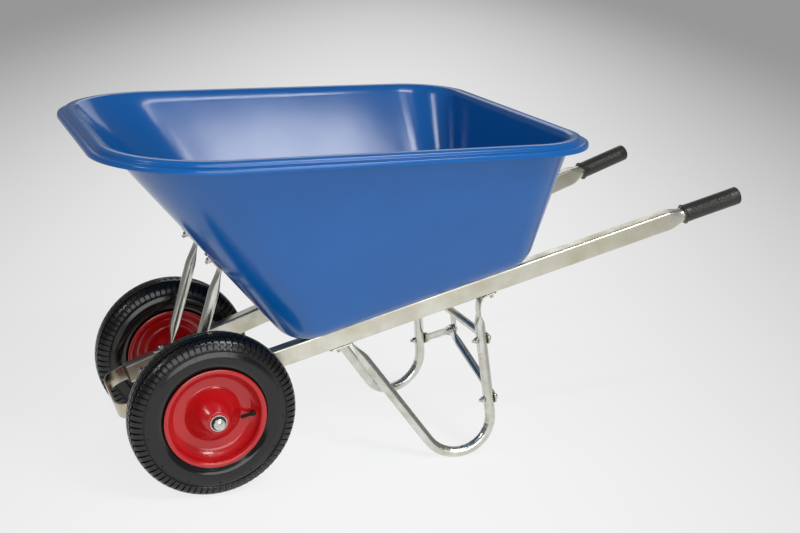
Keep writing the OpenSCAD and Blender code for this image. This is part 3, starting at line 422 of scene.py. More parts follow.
tread_rubber = rubber_finish("moulded_tyre_rubber", "#0e0e0e", "#151514", 0.17, 0.27, 2.5, 0.10)
wall_rubber = rubber_finish("tyre_sidewall_rubber", "#0f0f0f", "#161615", 0.11, 0.19, 1.8, 0.05)
grip_rubber = rubber_finish("moulded_grip_rubber", "#292826", "#33322e", 0.30, 0.40, 1.5, 0.04)
stem_rubber = rubber_finish("valve_rubber", "#121212", "#1a1a1a", 0.38, 0.5, 1.2, 0.10)
nylon = rubber_finish("turned_black_nylon", "#161616", "#1f1f1f", 0.32, 0.45, 1.0, 0.08)
rubbers = (tread_rubber, wall_rubber, grip_rubber, stem_rubber, nylon)
print("rubber and nylon finishes:", [finish.name for finish in rubbers])

# %% [markdown]
# ## The tray
# Seen from above the tray is a rounded rectangle at every height: a small one for the floor, which
# lies on the sloping rails, and a big one for the lip, which is level. A wall is straight between
# the two, with a wide rounding at the floor. Rings of points with the same count do all of it, and
# the skin goes from the inner floor over the rolled lip and back down outside.

# %% Tray rings
tray_front, tray_len, tray_w, tray_z, tray_t = 249.0, 1074.0, 910.0, 794.0, 4.0
lip_w, lip_drop, lip_front_r, lip_back_r = 42.0, 18.0, 246.0, 166.0
floor_front, floor_len, floor_front_w, floor_back_w = 200.0, 556.0, 412.0, 494.0
floor_front_r, floor_back_r, floor_round = 82.0, 56.0, 52.0
floor_level = rail_lift + rail_h / 2 + seat_gap


def plan_ring(front, back, front_half, back_half, front_r, back_r, arc_steps=28, run_steps=20):
    """A rounded rectangle seen from above: four quarter circles, joined by straight runs that
    are cut into even steps."""
    quarter = np.linspace(0, 90, arc_steps + 1)
    front_x, front_y = front + front_r, front_half - front_r
    back_x, back_y = back - back_r, back_half - back_r
    corners = [(back_x, back_y, back_r, 0), (front_x, front_y, front_r, 90),
               (front_x, -front_y, front_r, 180), (back_x, -back_y, back_r, 270)]
    arcs = [np.stack([x + r * np.cos(np.radians(quarter + start)),
                      y + r * np.sin(np.radians(quarter + start))], -1) for x, y, r, start in corners]
    t = (np.arange(1, run_steps) / run_steps)[:, None]
    runs = [arc[-1] + t * (after[0] - arc[-1]) for arc, after in zip(arcs, arcs[1:] + arcs[:1])]
    return np.vstack([part for pair in zip(arcs, runs) for part in pair])


def lip_ring(out, up):
    """The ring of the lip that lies out from the tray's mouth and up from its height."""
    half = tray_w / 2 - lip_w + out
    ring = plan_ring(lip_w - tray_front - out, tray_len - tray_front - lip_w + out, half, half,
                     lip_front_r - lip_w + out, lip_back_r - lip_w + out)
    return np.column_stack([ring, np.full(len(ring), tray_z + up)])


def floor_ring(inset, lift):
    """The ring of the floor, inset from its edge, on the sloping plane lift above the axle."""
    ring = plan_ring(floor_front + inset, floor_front + floor_len - inset, floor_front_w / 2 - inset,
                     floor_back_w / 2 - inset, floor_front_r - inset, floor_back_r - inset)
    slope = np.radians(rail_pitch)
    return np.column_stack([ring, tyre_r + (lift + ring[:, 0] * np.sin(slope)) / np.cos(slope)])


def wall_rows(head, foot, inset, reach, bend_steps=14, climb_steps=16):
    """A quadratic curve from the inset ring, drawn to the foot ring, to a ring that lies reach up
    the wall, then straight rows up to the head ring."""
    knee = foot + reach * unit(head - foot)
    t = np.linspace(0, 1, bend_steps)[:, None, None]
    s = (np.arange(1, climb_steps + 1) / climb_steps)[:, None, None]
    return np.concatenate([inset * (1 - t) ** 2 + 2 * foot * t * (1 - t) + knee * t * t,
                           knee + s * (head - knee)])


print("points in a ring:", len(lip_ring(0, 0)))

# %% [markdown]
# The lip is rolled in two steps: a flat crown, a step down and a turned edge. Its outline is a
# smooth line through shares of the lip's width and drop. The underside is the same line moved
# square to itself by the thickness of the sheet, and it stops where it would run into the wall.

# %% Tray
lip_sheet, wall_start = 2.4, 7
lip_shares = np.array([[0, 0], [0.07, 0.13], [0.22, 0.2], [0.42, 0.19], [0.55, 0.1], [0.615, -0.04],
                       [0.64, -0.2], [0.66, -0.33], [0.71, -0.39], [0.88, -0.41], [0.97, -0.5],
                       [1, -0.72], [1, -1]])
lip_line = smooth_line(lip_shares * [lip_w, lip_drop], 5)
under_line = thicken(lip_line, lip_sheet)[wall_start:][::-1]
floor_top = floor_level + tray_t
inside = wall_rows(lip_ring(0, 0), floor_ring(tray_t, floor_top), floor_ring(floor_round, floor_top),
                   floor_round - tray_t)
outside = wall_rows(lip_ring(tray_t, -tray_t), floor_ring(0, floor_level),
                    floor_ring(floor_round, floor_level), floor_round)
lip_top = np.stack([lip_ring(x, z) for x, z in lip_line[1:]])
lip_under = np.stack([lip_ring(x, z) for x, z in under_line])
tray_rows = put(np.concatenate([inside, lip_top, lip_under, outside[::-1]]), ground)
make_piece("tray_shell", [skin(tray_rows)], tray_plastic, "chassis", ["tray"], sharp=50)

# %% [markdown]
# ## Rails
# Each rail is a box tube whose rear end is swaged down to a round handle. Box and circle are both
# a rounded rectangle, so the neck is one section whose width, height and corner radius ease from
# one set of sizes to the other. The skin runs out along the outside and back along the bore.

# %% Rails
handle_d, grip_end = 34.0, 5.0
handle_end = grip_start + grip_len - grip_end - seat_gap
rail_runs = np.concatenate([np.linspace(-rail_front, rail_back, 40),
                            rail_back + neck_len * np.linspace(0.04, 1, 24),
                            np.linspace(grip_start + 4, handle_end, 8)])


def rail_rows(inset):
    """Sections of the rail along X, drawn in by inset on all sides."""
    t = ease((rail_runs - rail_back) / neck_len)
    w, h = rail_w + (handle_d - rail_w) * t, rail_h + (handle_d - rail_h) * t
    r = rail_corner + (handle_d / 2 - rail_corner) * t
    section = box_section(w - 2 * inset, h - 2 * inset, r - inset, 8)
    runs = np.broadcast_to(rail_runs[:, None, None], section.shape[:2] + (1,))
    return np.concatenate([runs, section], -1)


rail_tube = np.concatenate([rail_rows(0), rail_rows(rail_wall)[::-1]])
for name, side in sides.items():
    make_piece("rail_tube_" + name, [skin(put(rail_tube, on_rail(), side), rows_closed=True)], rail_zinc,
               "chassis", ["rail_" + name])

# %% [markdown]
# ## Grips
# A grip is a moulded rubber sleeve with a collar, fine ribs round it and a rounded closed end. It
# is a turned profile: the ribs are a raised cosine along the sleeve, faded out at both ends.

# %% Grips
grip_r, grip_bore_r, grip_collar_r, grip_collar, grip_round = 21.5, handle_d / 2 + seat_gap, 24.0, 6.0, 6.0
rib_pitch, rib_depth, rib_start, rib_stop, rib_fade_run, rib_fullness = 5.0, 0.8, 14.0, 20.0, 8.0, 0.7
rib_run = np.linspace(grip_collar + 1, grip_len - rib_start, 360)
rib_fade = ease((rib_run - rib_start) / rib_fade_run) * ease((grip_len - rib_stop - rib_run) / rib_fade_run)
rib_wave = (0.5 - 0.5 * np.cos(2 * np.pi * rib_run / rib_pitch)) ** rib_fullness
dome = np.radians(np.linspace(0, 88, 10))
collar_profile = [[grip_bore_r, grip_len - grip_end], [grip_bore_r, 0], [grip_collar_r - 0.8, 0],
                  [grip_collar_r, 0.8], [grip_collar_r, 2.2], [grip_collar_r - 0.7, 3.2],
                  [grip_r + 0.6, 4.6], [grip_r, grip_collar]]
dome_profile = np.column_stack([grip_r - grip_round + grip_round * np.cos(dome),
                                grip_len - grip_round + grip_round * np.sin(dome)])
rib_profile = np.column_stack([grip_r - rib_depth * rib_fade * rib_wave, rib_run])
grip_profile = np.vstack([collar_profile, rib_profile, dome_profile, [[0.5, grip_len]]])
for name, side in sides.items():
    sleeve = put(turned(grip_profile, 72), on_rail(grip_start) @ turn("Y", 90), side)
    make_piece("ribbed_grip_" + name, [skin(sleeve)], grip_rubber, "chassis",
               ["grip_" + name])

# %% [markdown]
# ## Nose bar
# A flat strap is bent to a wide U and pushed into the open front ends of the rails. It is a
# rounded box section on edge, carried along straight runs with an arc at each corner.

# %% Nose bar
nose_room, nose_t, nose_edge, nose_reach, nose_bend, nose_grip = 1.5, 5.0, 1.2, 184.0, 47.0, 62.0
corner_in = rail_corner - rail_wall
corner_room = corner_in - np.sqrt(corner_in ** 2 - (corner_in - nose_room) ** 2)
arm_side = rail_w / 2 - rail_wall - corner_room - seat_gap - nose_t / 2
splay = np.radians(rail_splay)
arm_dir, arm_square = np.array([[np.cos(splay), np.sin(splay)], [-np.sin(splay), np.cos(splay)]])
arm_end = np.array([0, rail_gap / 2]) + (nose_grip - rail_front) * arm_dir + arm_side * arm_square
front_x = nose_t / 2 - nose_reach
bend_at = arm_end - arm_dir * (arm_end[0] - front_x) / arm_dir[0]
nose_corners = np.array([[*arm_end, rail_lift], [*bend_at, rail_lift], [bend_at[0], -bend_at[1], rail_lift],
                         [arm_end[0], -arm_end[1], rail_lift]])
nose_path = bent_path(nose_corners, [nose_bend, nose_bend], 20)
nose_section = box_section(rail_h - 2 * rail_wall - 2 * nose_room, nose_t, nose_edge, 4)
nose_rows = sweep(nose_path, np.array([0.0, 0, 1]), nose_section)
make_piece("nose_strap", [skin(put(nose_rows, rail_plane))], strap_zinc, "chassis",
           ["nose_bar"])

# %% [markdown]
# ## Struts and legs
# Both are round tube whose ends were squeezed flat in a press, bent over and drilled. The section
# is a stadium that eases from a circle to a thin flat, and the flat's far end is rounded off. The
# path is a chain of straight runs with a bend at each corner.

# %% Flattened tube
tab_w, tab_t, tab_round, roundest = 31.0, 4.0, 9.0, 0.495


def flattened_tube(path, tabs, flats, d, across, tab=(tab_w, tab_t), rounds=(tab_round,) * 2, step=2.0):
    """A tube along a path: within each tab it has the tab's width and thickness, over the flat run
    it eases to a circle of diameter d, and each end narrows along a quarter circle."""
    length = path_length(path)
    close_to_ends = [0.3, 0.8, 1.4, length - 0.8, length - 0.3, length]
    s = np.unique(np.concatenate([np.arange(0, length, step), close_to_ends]))
    full = ease((s - tabs[0]) / flats[0]) * ease((length - tabs[1] - s) / flats[1])
    w, h = tab[0] + (d - tab[0]) * full, tab[1] + (d - tab[1]) * full
    for r, left in zip(rounds, (s, length - s)):
        w = w - 2 * (r - np.sqrt(r ** 2 - (r - np.minimum(left, r)) ** 2))
    return skin(sweep(along(path, s), across, box_section(w, h, roundest * np.minimum(w, h), 7)))


across_rail = on_rail()[:3, 1]
print("direction across the right rail:", np.round(across_rail, 3))

# %% [markdown]
# A strut stands on its rail beside the axle and holds the tray's sloping front wall. The wall's
# line in the side view gives the upper tab its slope.

# %% Struts
strut_d, strut_foot, strut_top, strut_bend = 25.0, 8.0, 488.0, 5.0
strut_flat, strut_tab, strut_top_tab = 58.0, 46.0, 48.0
tab_seat = tab_t / 2 + seat_gap
slope = np.radians(rail_pitch)
wall_foot = np.array([floor_front, tyre_r + (floor_level + floor_front * np.sin(slope)) / np.cos(slope)])
wall_head = np.array([lip_w - tray_front - tray_t, tray_z - tray_t])
wall_dir = unit(wall_head - wall_foot)
wall_out = np.array([-wall_dir[1], wall_dir[0]])
wall_at = wall_foot + wall_dir * (strut_top - wall_foot[1]) / wall_dir[1] + wall_out * tab_seat
strut_low = on_rail(-strut_foot, rail_h / 2 + tab_seat)[:3, 3]
strut_end = on_rail(-strut_foot - strut_tab, rail_h / 2 + tab_seat)[:3, 3]
strut_high = np.array([axle_x + wall_at[0], on_rail(-strut_foot)[1, 3], wall_at[1]])
strut_tip = strut_high + strut_top_tab * np.array([wall_dir[0], 0, wall_dir[1]])
strut_path = bent_path([strut_end, strut_low, strut_high, strut_tip], [strut_bend] * 2, 16)
across_barrow = np.array([0.0, 1, 0])
flat, faces = flattened_tube(strut_path, [strut_tab, strut_top_tab], [strut_flat] * 2, strut_d,
                             across_barrow)
for name, side in sides.items():
    make_piece("strut_tube_" + name, [(flat * [1, side, 1], faces)], tube_zinc, "chassis",
               ["strut_" + name])

# %% [markdown]
# A leg is one tube bent to a narrow U that stands on its bow. Its plane is turned a little outwards
# and leans towards the tray. The two runs meet in a corner far below the ground, and the arc that
# rounds this corner is the foot. The front end is bent over sharply, the rear end in a soft fold: a
# quadratic curve drawn to the corner under the rail.

# %% Legs
leg_d, leg_back, leg_side, leg_turn, leg_lean, leg_bend = 25.0, 591.0, 216.0, 8.4, 4.6, 84.0
leg_front_slope, leg_rear_lean = np.radians([53.0, 8.0])
leg_flat, leg_tab, leg_tab_bend = 58.0, 54.0, 6.0
fold_drop, fold_reach, rear_tab = 40.0, 24.0, 24.0
leg_plane = ground @ shift(leg_back, leg_side) @ turn("Z", leg_turn) @ turn("X", 90 + leg_lean)
leg_centre = np.array([0, leg_bend + leg_d / 2 / np.cos(np.radians(leg_lean)), 0])
front_way = np.array([-np.cos(leg_front_slope), np.sin(leg_front_slope), 0])
rear_way = np.array([-np.sin(leg_rear_lean), np.cos(leg_rear_lean), 0])
front_bend = leg_centre + leg_bend * np.array([-np.sin(leg_front_slope), -np.cos(leg_front_slope), 0])
rear_bend = leg_centre + leg_bend * np.array([np.cos(leg_rear_lean), np.sin(leg_rear_lean), 0])


def to_rail(start, way):
    """The point where a run, followed from its start, meets the plane of the tabs under the rail."""
    at, step = put(start, leg_plane), leg_plane[:3, :3] @ way
    under, up = on_rail(0, -rail_h / 2 - tab_seat)[:3, 3], rail_plane[:3, 2]
    return at + step * ((under - at) @ up) / (step @ up)


front_head, rear_head = to_rail(front_bend, front_way), to_rail(rear_bend, rear_way)
bow_turn = np.arccos(-front_way @ rear_way)
bow_corner = put(front_bend - front_way * leg_bend * np.tan(bow_turn / 2), leg_plane)


def rail_run(point):
    """How far along the right rail a point lies."""
    return (np.linalg.inv(on_rail()) @ np.append(point, 1))[0]


front_run, rear_run = rail_run(front_head), rail_run(rear_head)
fold_run = rear_run + fold_reach
front_end, front_at, rear_at, fold_end, rear_end = (
    on_rail(run, -rail_h / 2 - tab_seat)[:3, 3]
    for run in (front_run - leg_tab, front_run, rear_run, fold_run, fold_run + rear_tab))
fold_foot = rear_at + fold_drop * unit(bow_corner - rear_at)
t = np.linspace(0, 1, 24)[:, None]
fold = fold_foot * (1 - t) ** 2 + 2 * rear_at * t * (1 - t) + fold_end * t * t
bow = bent_path([front_end, front_at, bow_corner, fold_foot], [leg_tab_bend, leg_bend], 16)
leg_path = np.vstack([bow[:-1], fold, rear_end])
flat, faces = flattened_tube(leg_path, [leg_tab, path_length(fold) + rear_tab], [leg_flat, leg_flat / 2],
                             leg_d, across_rail)
for name, side in sides.items():
    make_piece("leg_tube_" + name, [(flat * [1, side, 1], faces)], tube_zinc, "chassis",
               ["leg_" + name])

# %% [markdown]
# ## Braces
# A thinner tube joins the two rear uprights, and two more run from the low ends of the uprights to a
# lug under its middle. All three are pressed flat and rounded at their ends, so the helper of the
# legs makes them too. Their frame stands on the uprights, tilted with them. At the lug the flat ends
# of the two lie one over the other, so each is jogged to its own layer.

# %% Cross bar and braces
brace_low, brace_high, apex_drop, lug_w, lug_t = 34.0, 182.0, 47.0, 28.0, 4.0
brace_d, brace_wall, brace_w, brace_t, brace_press, brace_bend = 19.0, 1.5, 28.0, 4.0, 34.0, 20.0
hex_d, soft_gap, fine_step = 15.0, 0.5, 1.5
brace_round, lug_round = brace_w / 2 - 0.3, lug_w / 2 - 0.3
low_bolt = put(rear_bend + brace_low * rear_way, leg_plane)
high_bolt = put(rear_bend + brace_high * rear_way, leg_plane)
rise = high_bolt - low_bolt
brace_height = np.hypot(rise[0], rise[2])
brace_frame = shift(low_bolt[0], 0, low_bolt[2]) @ turn("Y", -np.degrees(np.arctan2(-rise[0], rise[2])))
brace_seat, apex_z = leg_d / 2 + seat_gap, brace_height - apex_drop
upright = np.array([0.0, 0, 1])


def brace_tube(length, jog):
    """A tube along Y with rounded flat ends about the places 0 and length, the far one jogged
    along X by jog."""
    low_x = brace_seat + brace_t / 2
    corners = [[low_x, -brace_w / 2, 0], [low_x, hex_d, 0], [low_x + jog, length - hex_d, 0],
               [low_x + jog, length + brace_w / 2, 0]]
    tabs, press = [hex_d + brace_w / 2] * 2, [brace_press] * 2
    return flattened_tube(bent_path(corners, [brace_bend] * 2), tabs, press, brace_d, upright,
                          (brace_w, brace_t), [brace_round] * 2, fine_step)


bar, bar_faces = brace_tube(2 * high_bolt[1], 0)
lug_x = brace_seat + lug_t / 2
lug_top = brace_height - (brace_d - brace_wall) / 2
lug_path = np.array([[lug_x, 0, apex_z - lug_w / 2], [lug_x, 0, lug_top]])
lug, lug_faces = flattened_tube(lug_path, [path_length(lug_path), 0], [1, 1], lug_t, across_barrow,
                                (lug_w, lug_t), [lug_round, 0], fine_step)
bar = put(bar, brace_frame @ shift(0, -high_bolt[1], brace_height))
make_piece("cross_tube", [(bar, bar_faces), (put(lug, brace_frame), lug_faces)], tube_zinc, "chassis",
           ["cross_bar"])
brace_rise = np.degrees(np.arctan2(apex_z, -low_bolt[1]))
slanted = brace_frame @ shift(0, low_bolt[1]) @ turn("X", brace_rise)
brace_layer = {"left": 2, "right": 1}
for name, side in sides.items():
    jog = -(brace_t + soft_gap) * brace_layer[name]
    flat, faces = brace_tube(np.hypot(low_bolt[1], apex_z), jog)
    make_piece("brace_tube_" + name, [(put(flat, slanted, side), faces)], tube_zinc, "chassis",
               ["brace_" + name])

# %% [markdown]
# ## Axle saddles
# A strap passes under the axle and is bolted up against the rail on both sides of it. The path is
# a hat: flange, bend, half circle, bend, flange. The half circle is two quarter bends, a hair tighter
# than they need be, so that their ends don't fall on one point.

# %% Saddles
saddle_w, saddle_t, saddle_edge, saddle_reach, saddle_bend = 28.0, 4.0, 0.8, 30.0, 3.0
cradle_r = axle_r + seat_gap + saddle_t / 2
half_bow = cradle_r - 0.01
flange_z = rail_lift - rail_h / 2 - seat_gap - saddle_t / 2
hat = [[-saddle_reach - hex_d / 2, 0, flange_z], [-cradle_r, 0, flange_z], [-cradle_r, 0, -cradle_r],
       [cradle_r, 0, -cradle_r], [cradle_r, 0, flange_z], [saddle_reach + hex_d / 2, 0, flange_z]]
saddle_path = bent_path(hat, [saddle_bend, half_bow, half_bow, saddle_bend], 12)
saddle_rows = sweep(saddle_path, across_barrow, box_section(saddle_w, saddle_t, saddle_edge, 4))
saddle_rows = put(saddle_rows, rail_plane @ shift(0, rail_gap / 2))
for name, side in sides.items():
    make_piece("axle_saddle_" + name, [skin(saddle_rows * [1, side, 1])], strap_zinc, "chassis",
               ["saddle_" + name])

# %% [markdown]
# ## Fasteners
# All bolts are one size. A hexagon is a turned shape whose radius depends on the angle, cut down
# near its top by a cone, which is how the chamfer of a real head comes about. The free end of the
# thread is a true helix: its radius depends on height and angle together.

# %% Bolt shapes
bolt_d, head_h, nut_h, bolt_tail, dome_d, dome_h = 8.0, 5.5, 6.5, 6.0, 20.0, 4.5
thread_pitch, thread_depth, thread_lead, lead_depth = 1.25, 0.75, 1.2, 0.6
chamfer_h, chamfer_slope, washer_r, washer_edge = 1.7, 1.1, 8.4, 0.3
washer_t, head_washer_t, sunk = 1.2, 1.1, 0.01
around = np.linspace(0, 2 * np.pi, 48, endpoint=False)


def ring_rows(radius, heights):
    """Rows of radius by height and angle, as points round Z."""
    z = np.broadcast_to(np.asarray(heights)[:, None], radius.shape)
    return np.stack([radius * np.cos(around), radius * np.sin(around), z], -1)


def hexagon(low, high, chamfer_up):
    """A hexagon prism: flat side distance over the cosine of the angle from its middle, held under
    a cone that starts a little below the chamfered face."""
    height, sixth = high - low, np.pi / 3
    z = np.concatenate([[0, 1e-3], height - np.linspace(chamfer_h, 0, 6)])
    flat = hex_d / 2 * np.cos(sixth / 2) / np.cos(np.mod(around, sixth) - sixth / 2)
    cone = hex_d / 2 - chamfer_slope * np.maximum(z - height + chamfer_h, 0)
    rows = ring_rows(np.minimum(flat, cone[:, None]), z)
    return skin(rows + [0, 0, low] if chamfer_up else rows * [1, 1, -1] + [0, 0, high])


def thread(low, high):
    """A helix: the radius falls by a triangle wave of height over pitch less the share of a turn,
    and the free end is drawn in to a lead."""
    z = np.arange(low, high, thread_pitch / 6)
    wave = np.abs(np.mod(z[:, None] / thread_pitch - around / (2 * np.pi), 1) * 2 - 1)
    fade = ease((z - low) / thread_lead)[:, None]
    return skin(ring_rows(bolt_d / 2 - thread_depth * wave * fade - lead_depth * (1 - fade), z))


def washer(low, high):
    """A thin turned ring, slightly rounded at its edge."""
    radius = washer_r - washer_edge * np.array([1, 0, 0, 1])[:, None] + 0 * around
    return skin(ring_rows(radius, [low, low + washer_edge, high - washer_edge, high]))


def bolt(grip, round_head=False):
    """Head over zero, thread, washer and nut under the grip."""
    if round_head:
        ball = (dome_d ** 2 / 4 + dome_h ** 2) / (2 * dome_h)
        a = np.linspace(np.arcsin(dome_d / 2 / ball), 0.02, 12)
        head = [skin(ring_rows(ball * np.sin(a)[:, None] + 0 * around, dome_h - ball + ball * np.cos(a)))]
    else:
        head = [hexagon(0, head_h, True), washer(-sunk, head_washer_t)]
    nut_low = -grip - nut_h
    return head + [hexagon(nut_low, -grip, False), washer(-grip - washer_t, -grip),
                   thread(nut_low - bolt_tail, nut_low + 1)]


print("faces in one bolt:", sum(len(block) for _, faces in bolt(20.0) for block in faces))

# %% [markdown]
# Each bolt has a frame with Z out of its head, and a grip: the stack of sheet and tube between head
# and nut. The lists below say where each kind sits on the right side, and the left side mirrors them.
# Round heads lie inside the tray, where nothing may catch, and hexagon heads are used elsewhere.

# %% Bolts in place
tab_bolt, nose_bolt_in = 32.0, 28.0
floor_runs = [front_run - tab_bolt, fold_run + rear_tab / 2]
tab_stack, saddle_stack = tab_t + seat_gap, rail_h + saddle_t + seat_gap
floor_stack = tray_t + rail_h + tab_t + 2 * seat_gap
rail_top = rail_h / 2
wall_frame = shift(*strut_high) @ turn("Y", -90 - np.degrees(np.arctan2(-wall_dir[0], wall_dir[1])))
lug_stack = lug_t + 2 * (brace_t + soft_gap)
along_x = turn("Y", 90)
bolt_sets = {
    "floor_bolts": [(on_rail(run, rail_top + seat_gap + tray_t), bolt(floor_stack, round_head=True))
                    for run in floor_runs],
    "saddle_bolts": [(on_rail(-saddle_reach, rail_top + tab_stack), bolt(saddle_stack + tab_stack)),
                     (on_rail(saddle_reach, rail_top), bolt(saddle_stack))],
    "nose_bolts": [(on_rail(nose_bolt_in - rail_front) @ shift(0, rail_w / 2) @ turn("X", -90),
                    bolt(rail_w))],
    "strut_bolts": [(wall_frame @ shift(tab_bolt, 0, -tab_seat - tray_t) @ turn("X", 180),
                     bolt(tray_t + tab_stack, round_head=True))],
    "brace_bolts": [(brace_frame @ shift(brace_seat + brace_t, y, z) @ along_x,
                     bolt(leg_d + brace_t + seat_gap))
                    for y, z in ((low_bolt[1], 0), (high_bolt[1], brace_height))]}
for name, places in bolt_sets.items():
    shapes = [(put(flat, place, side), faces) for place, shape in places for side in sides.values()
              for flat, faces in shape]
    make_piece(name + "_set", shapes, bolt_zinc, "chassis", [name], sharp=25)
apex_place = brace_frame @ shift(brace_seat + lug_t, 0, apex_z) @ along_x
apex_bolt = [(put(flat, apex_place), faces) for flat, faces in bolt(lug_stack)]
make_piece("centre_bolt_set", apex_bolt, bolt_zinc, "chassis", ["centre_bolt"], sharp=25)

# %% [markdown]
# ## Tyres
# A tyre could be a ring with a bump, but its blocks show against the light, so they are real. The
# outline runs from the middle of the crown round the wall to the bead: a smooth line through shares
# of the tyre's height and half width.

# %% Tyre outline
track, tyre_half, tyre_wall, tread_t = 417.0, 40.5, 6.0, 12.0
rim_r, rim_half, rim_sheet, seat_r = 114.0, 36.5, 2.0, 101.5
bead_r = seat_r + rim_sheet + soft_gap
wall_shares = np.array([[1, 0], [1, 0.2], [0.96, 0.54], [0.877, 0.78], [0.74, 0.915], [0.6, 0.975],
                        [0.42, 1], [0.2, 0.975]])
bead_top = [bead_r + 1.2 * (rim_r - bead_r), 0.88 * rim_half]
wall_knots = np.vstack([[rim_r, 0] + wall_shares * [tyre_r - rim_r, tyre_half], bead_top])
wall_knots = np.vstack([wall_knots[1] * [1, -1], wall_knots])
knot_steps = 24
tyre_line = smooth_line(wall_knots, knot_steps)[knot_steps:]
tyre_run = run_along(tyre_line)
tyre_way = np.gradient(tyre_line, tyre_run, axis=0)
print("from crown to bead:", round(tyre_run[-1], 1), "mm")

# %% [markdown]
# Along the outline lie grooves, at given distances from the crown. Across it lie the notches between
# the shoulder blocks, seventy eight to a turn, and finer cuts in the ribs. The columns of the grid
# follow the groove edges and its rows the notch edges, so every edge stays crisp, and near the crown
# the columns swing from side to side, so the ribs zigzag. Past the shoulder the wall is a step lower,
# with the thin parting line that the two halves of the mould leave.

# %% Tyre tread
pitches, groove_depth, sipe_depth, swing_reach = 78, 5.0, 2.4, 2.2
crown_half, rib_in, rib_out, tread_half = 4.6, 9.2, 18.2, 22.8
shoulder_stop, line_at, line_up, line_half = 54.0, 57.5, 0.7, 0.8
step_down, step_rise, step_back = 2.8, 57.0, 17.0
notch_spots = np.array([0, 0.06, 0.24, 0.30, 0.45, 0.60, 0.63, 0.69, 0.72, 0.86])
notch_wave = np.interp(notch_spots, [0, 0.06, 0.24, 0.30, 1], [0, 1, 1, 0, 0])
sipe_wave = np.interp(notch_spots, [0, 0.60, 0.63, 0.69, 0.72, 1], [0, 0, 1, 1, 0, 0])
zigzag = np.abs(notch_spots * 2 - 1) * 2 - 1
groove_knots = np.array([[0, 0], [crown_half, 0], [5.3, 1], [8.5, 1], [rib_in, 0], [rib_out, 0],
                         [18.9, 1], [22.1, 1], [tread_half, 0]])
block_places = [2.3, 12, 15, 26, 30, 34, 38, 42, 46, 49, 51.5, 53.2, shoulder_stop, 54.8]
line_places = [56.6, 57.1, 57.9, 58.4]
wall_places = np.append(np.arange(60.5, tyre_run[-1], 3), tyre_run[-1])
half_places = np.unique(np.concatenate([groove_knots[:, 0], block_places, line_places, wall_places]))
places = np.concatenate([-half_places[:0:-1], half_places])


def tyre_rows():
    """Rows round the wheel, columns along the outline: the outline's point, moved inwards along its
    normal by grooves, shoulder notches, sipes and the wall's step, and outwards by the parting line."""
    turns = ((np.arange(pitches)[:, None] + notch_spots) / pitches).ravel()[:, None] * 2 * np.pi
    notch, sipe, swing = (np.tile(wave, pitches)[:, None] for wave in (notch_wave, sipe_wave, zigzag))
    run = np.abs(places)
    swung = places + swing_reach * swing * (1 - ease((run - tread_half) / 6))
    side, far = np.sign(swung), np.abs(swung)
    r, z, way_r, way_z = (np.interp(far, tyre_run, v) for v in (*tyre_line.T, *tyre_way.T))
    ring = np.interp(run, groove_knots[:, 0], groove_knots[:, 1]) * groove_depth
    shoulder = ease((run - tread_half + 0.6) / 1.2) * ease((shoulder_stop - run) / 1.5)
    blocks = notch * shoulder * np.interp(run, [22, 40, shoulder_stop], [groove_depth, 4.0, 1.8])
    ribs = ease((run - rib_in) / 0.6) * ease((rib_out - run) / 0.6) + ease((crown_half - run) / 0.6)
    step = step_down * ease((run - shoulder_stop + 0.4) / 1.2) * (1 - ease((run - step_rise) / step_back))
    parting = line_up * np.maximum(0, 1 - np.abs(run - line_at) / line_half)
    depth = np.maximum(np.maximum(ring, blocks), sipe * ribs * sipe_depth) + step - parting
    r, z = r - way_z * depth, side * (z + way_r * depth)
    return np.stack([r * np.cos(turns), r * np.sin(turns), z], -1)


print("columns:", len(places), "rows:", pitches * len(notch_spots))

# %% [markdown]
# The tread's skin is closed by the bead and the lining, which nobody sees but which give the rubber
# its thickness. The wall past the shoulder came off a smoother part of the mould, so its faces get the
# shinier rubber. Short hairs of rubber stand on it, where air left the mould.

# %% Tyres
bead_shares = np.array([[0.85, 0.85], [0.26, 0.83], [0, 0.74], [0, 0.5]])
lining_shares = np.array([[0, 0.82], [0.2, 0.96], [0.52, 1], [0.78, 0.87], [0.93, 0.62], [1, 0.3], [1, 0]])
inner_half = np.vstack([[bead_r, 0] + bead_shares * [rim_r - bead_r, rim_half],
                        [rim_r, 0] + lining_shares * [tyre_r - tread_t - rim_r, tyre_half - tyre_wall]])
inner_line = np.vstack([inner_half, (inner_half * [1, -1])[-2::-1]])
wheel_frame = shift(axle_x, track / 2, tyre_r) @ turn("X", -90)


def tyre_skin():
    """The tread rows with the lining's ring of points behind them, closed both ways. The quads come as
    two arrays: those with a corner short of the shoulder's end, and then wall, bead and lining."""
    outer = tyre_rows()
    a = np.arctan2(outer[:, 0, 1], outer[:, 0, 0])[:, None]
    r, z = inner_line[:, 0], inner_line[:, 1]
    inner = np.stack([r * np.cos(a), r * np.sin(a), np.broadcast_to(z, (len(a), len(z)))], -1)
    flat, [quads] = skin(np.concatenate([outer, inner], 1), rows_closed=True)
    run = np.abs(places)
    columns = np.zeros(len(places) + len(inner_line), bool)
    columns[:len(places) - 1] = np.minimum(run[:-1], run[1:]) < shoulder_stop
    tread = np.tile(columns, len(outer))
    return flat, [quads[tread], quads[~tread]]


def vent_nibs(run, count, start):
    """Short rubber hairs on both walls: a small turned cone stood on the outline's normal at one
    distance from the crown, and repeated round the wheel."""
    cone = turned(np.array([[1.0, -1.5], [0.9, 0.4], [0.6, 1.4], [0.2, 2.2]]), 8)
    at = along(tyre_line, [run])[0]
    way_r, way_z = (np.interp(run, tyre_run, v) for v in tyre_way.T)
    tilt = np.degrees(np.arctan2(way_z, -way_r))
    for a in start + np.arange(count) * 360 / count:
        for face in (1, -1):
            stood = put(cone, turn("Z", a) @ shift(at[0], 0, at[1]) @ turn("Y", tilt))
            yield skin(stood * [1, 1, face])


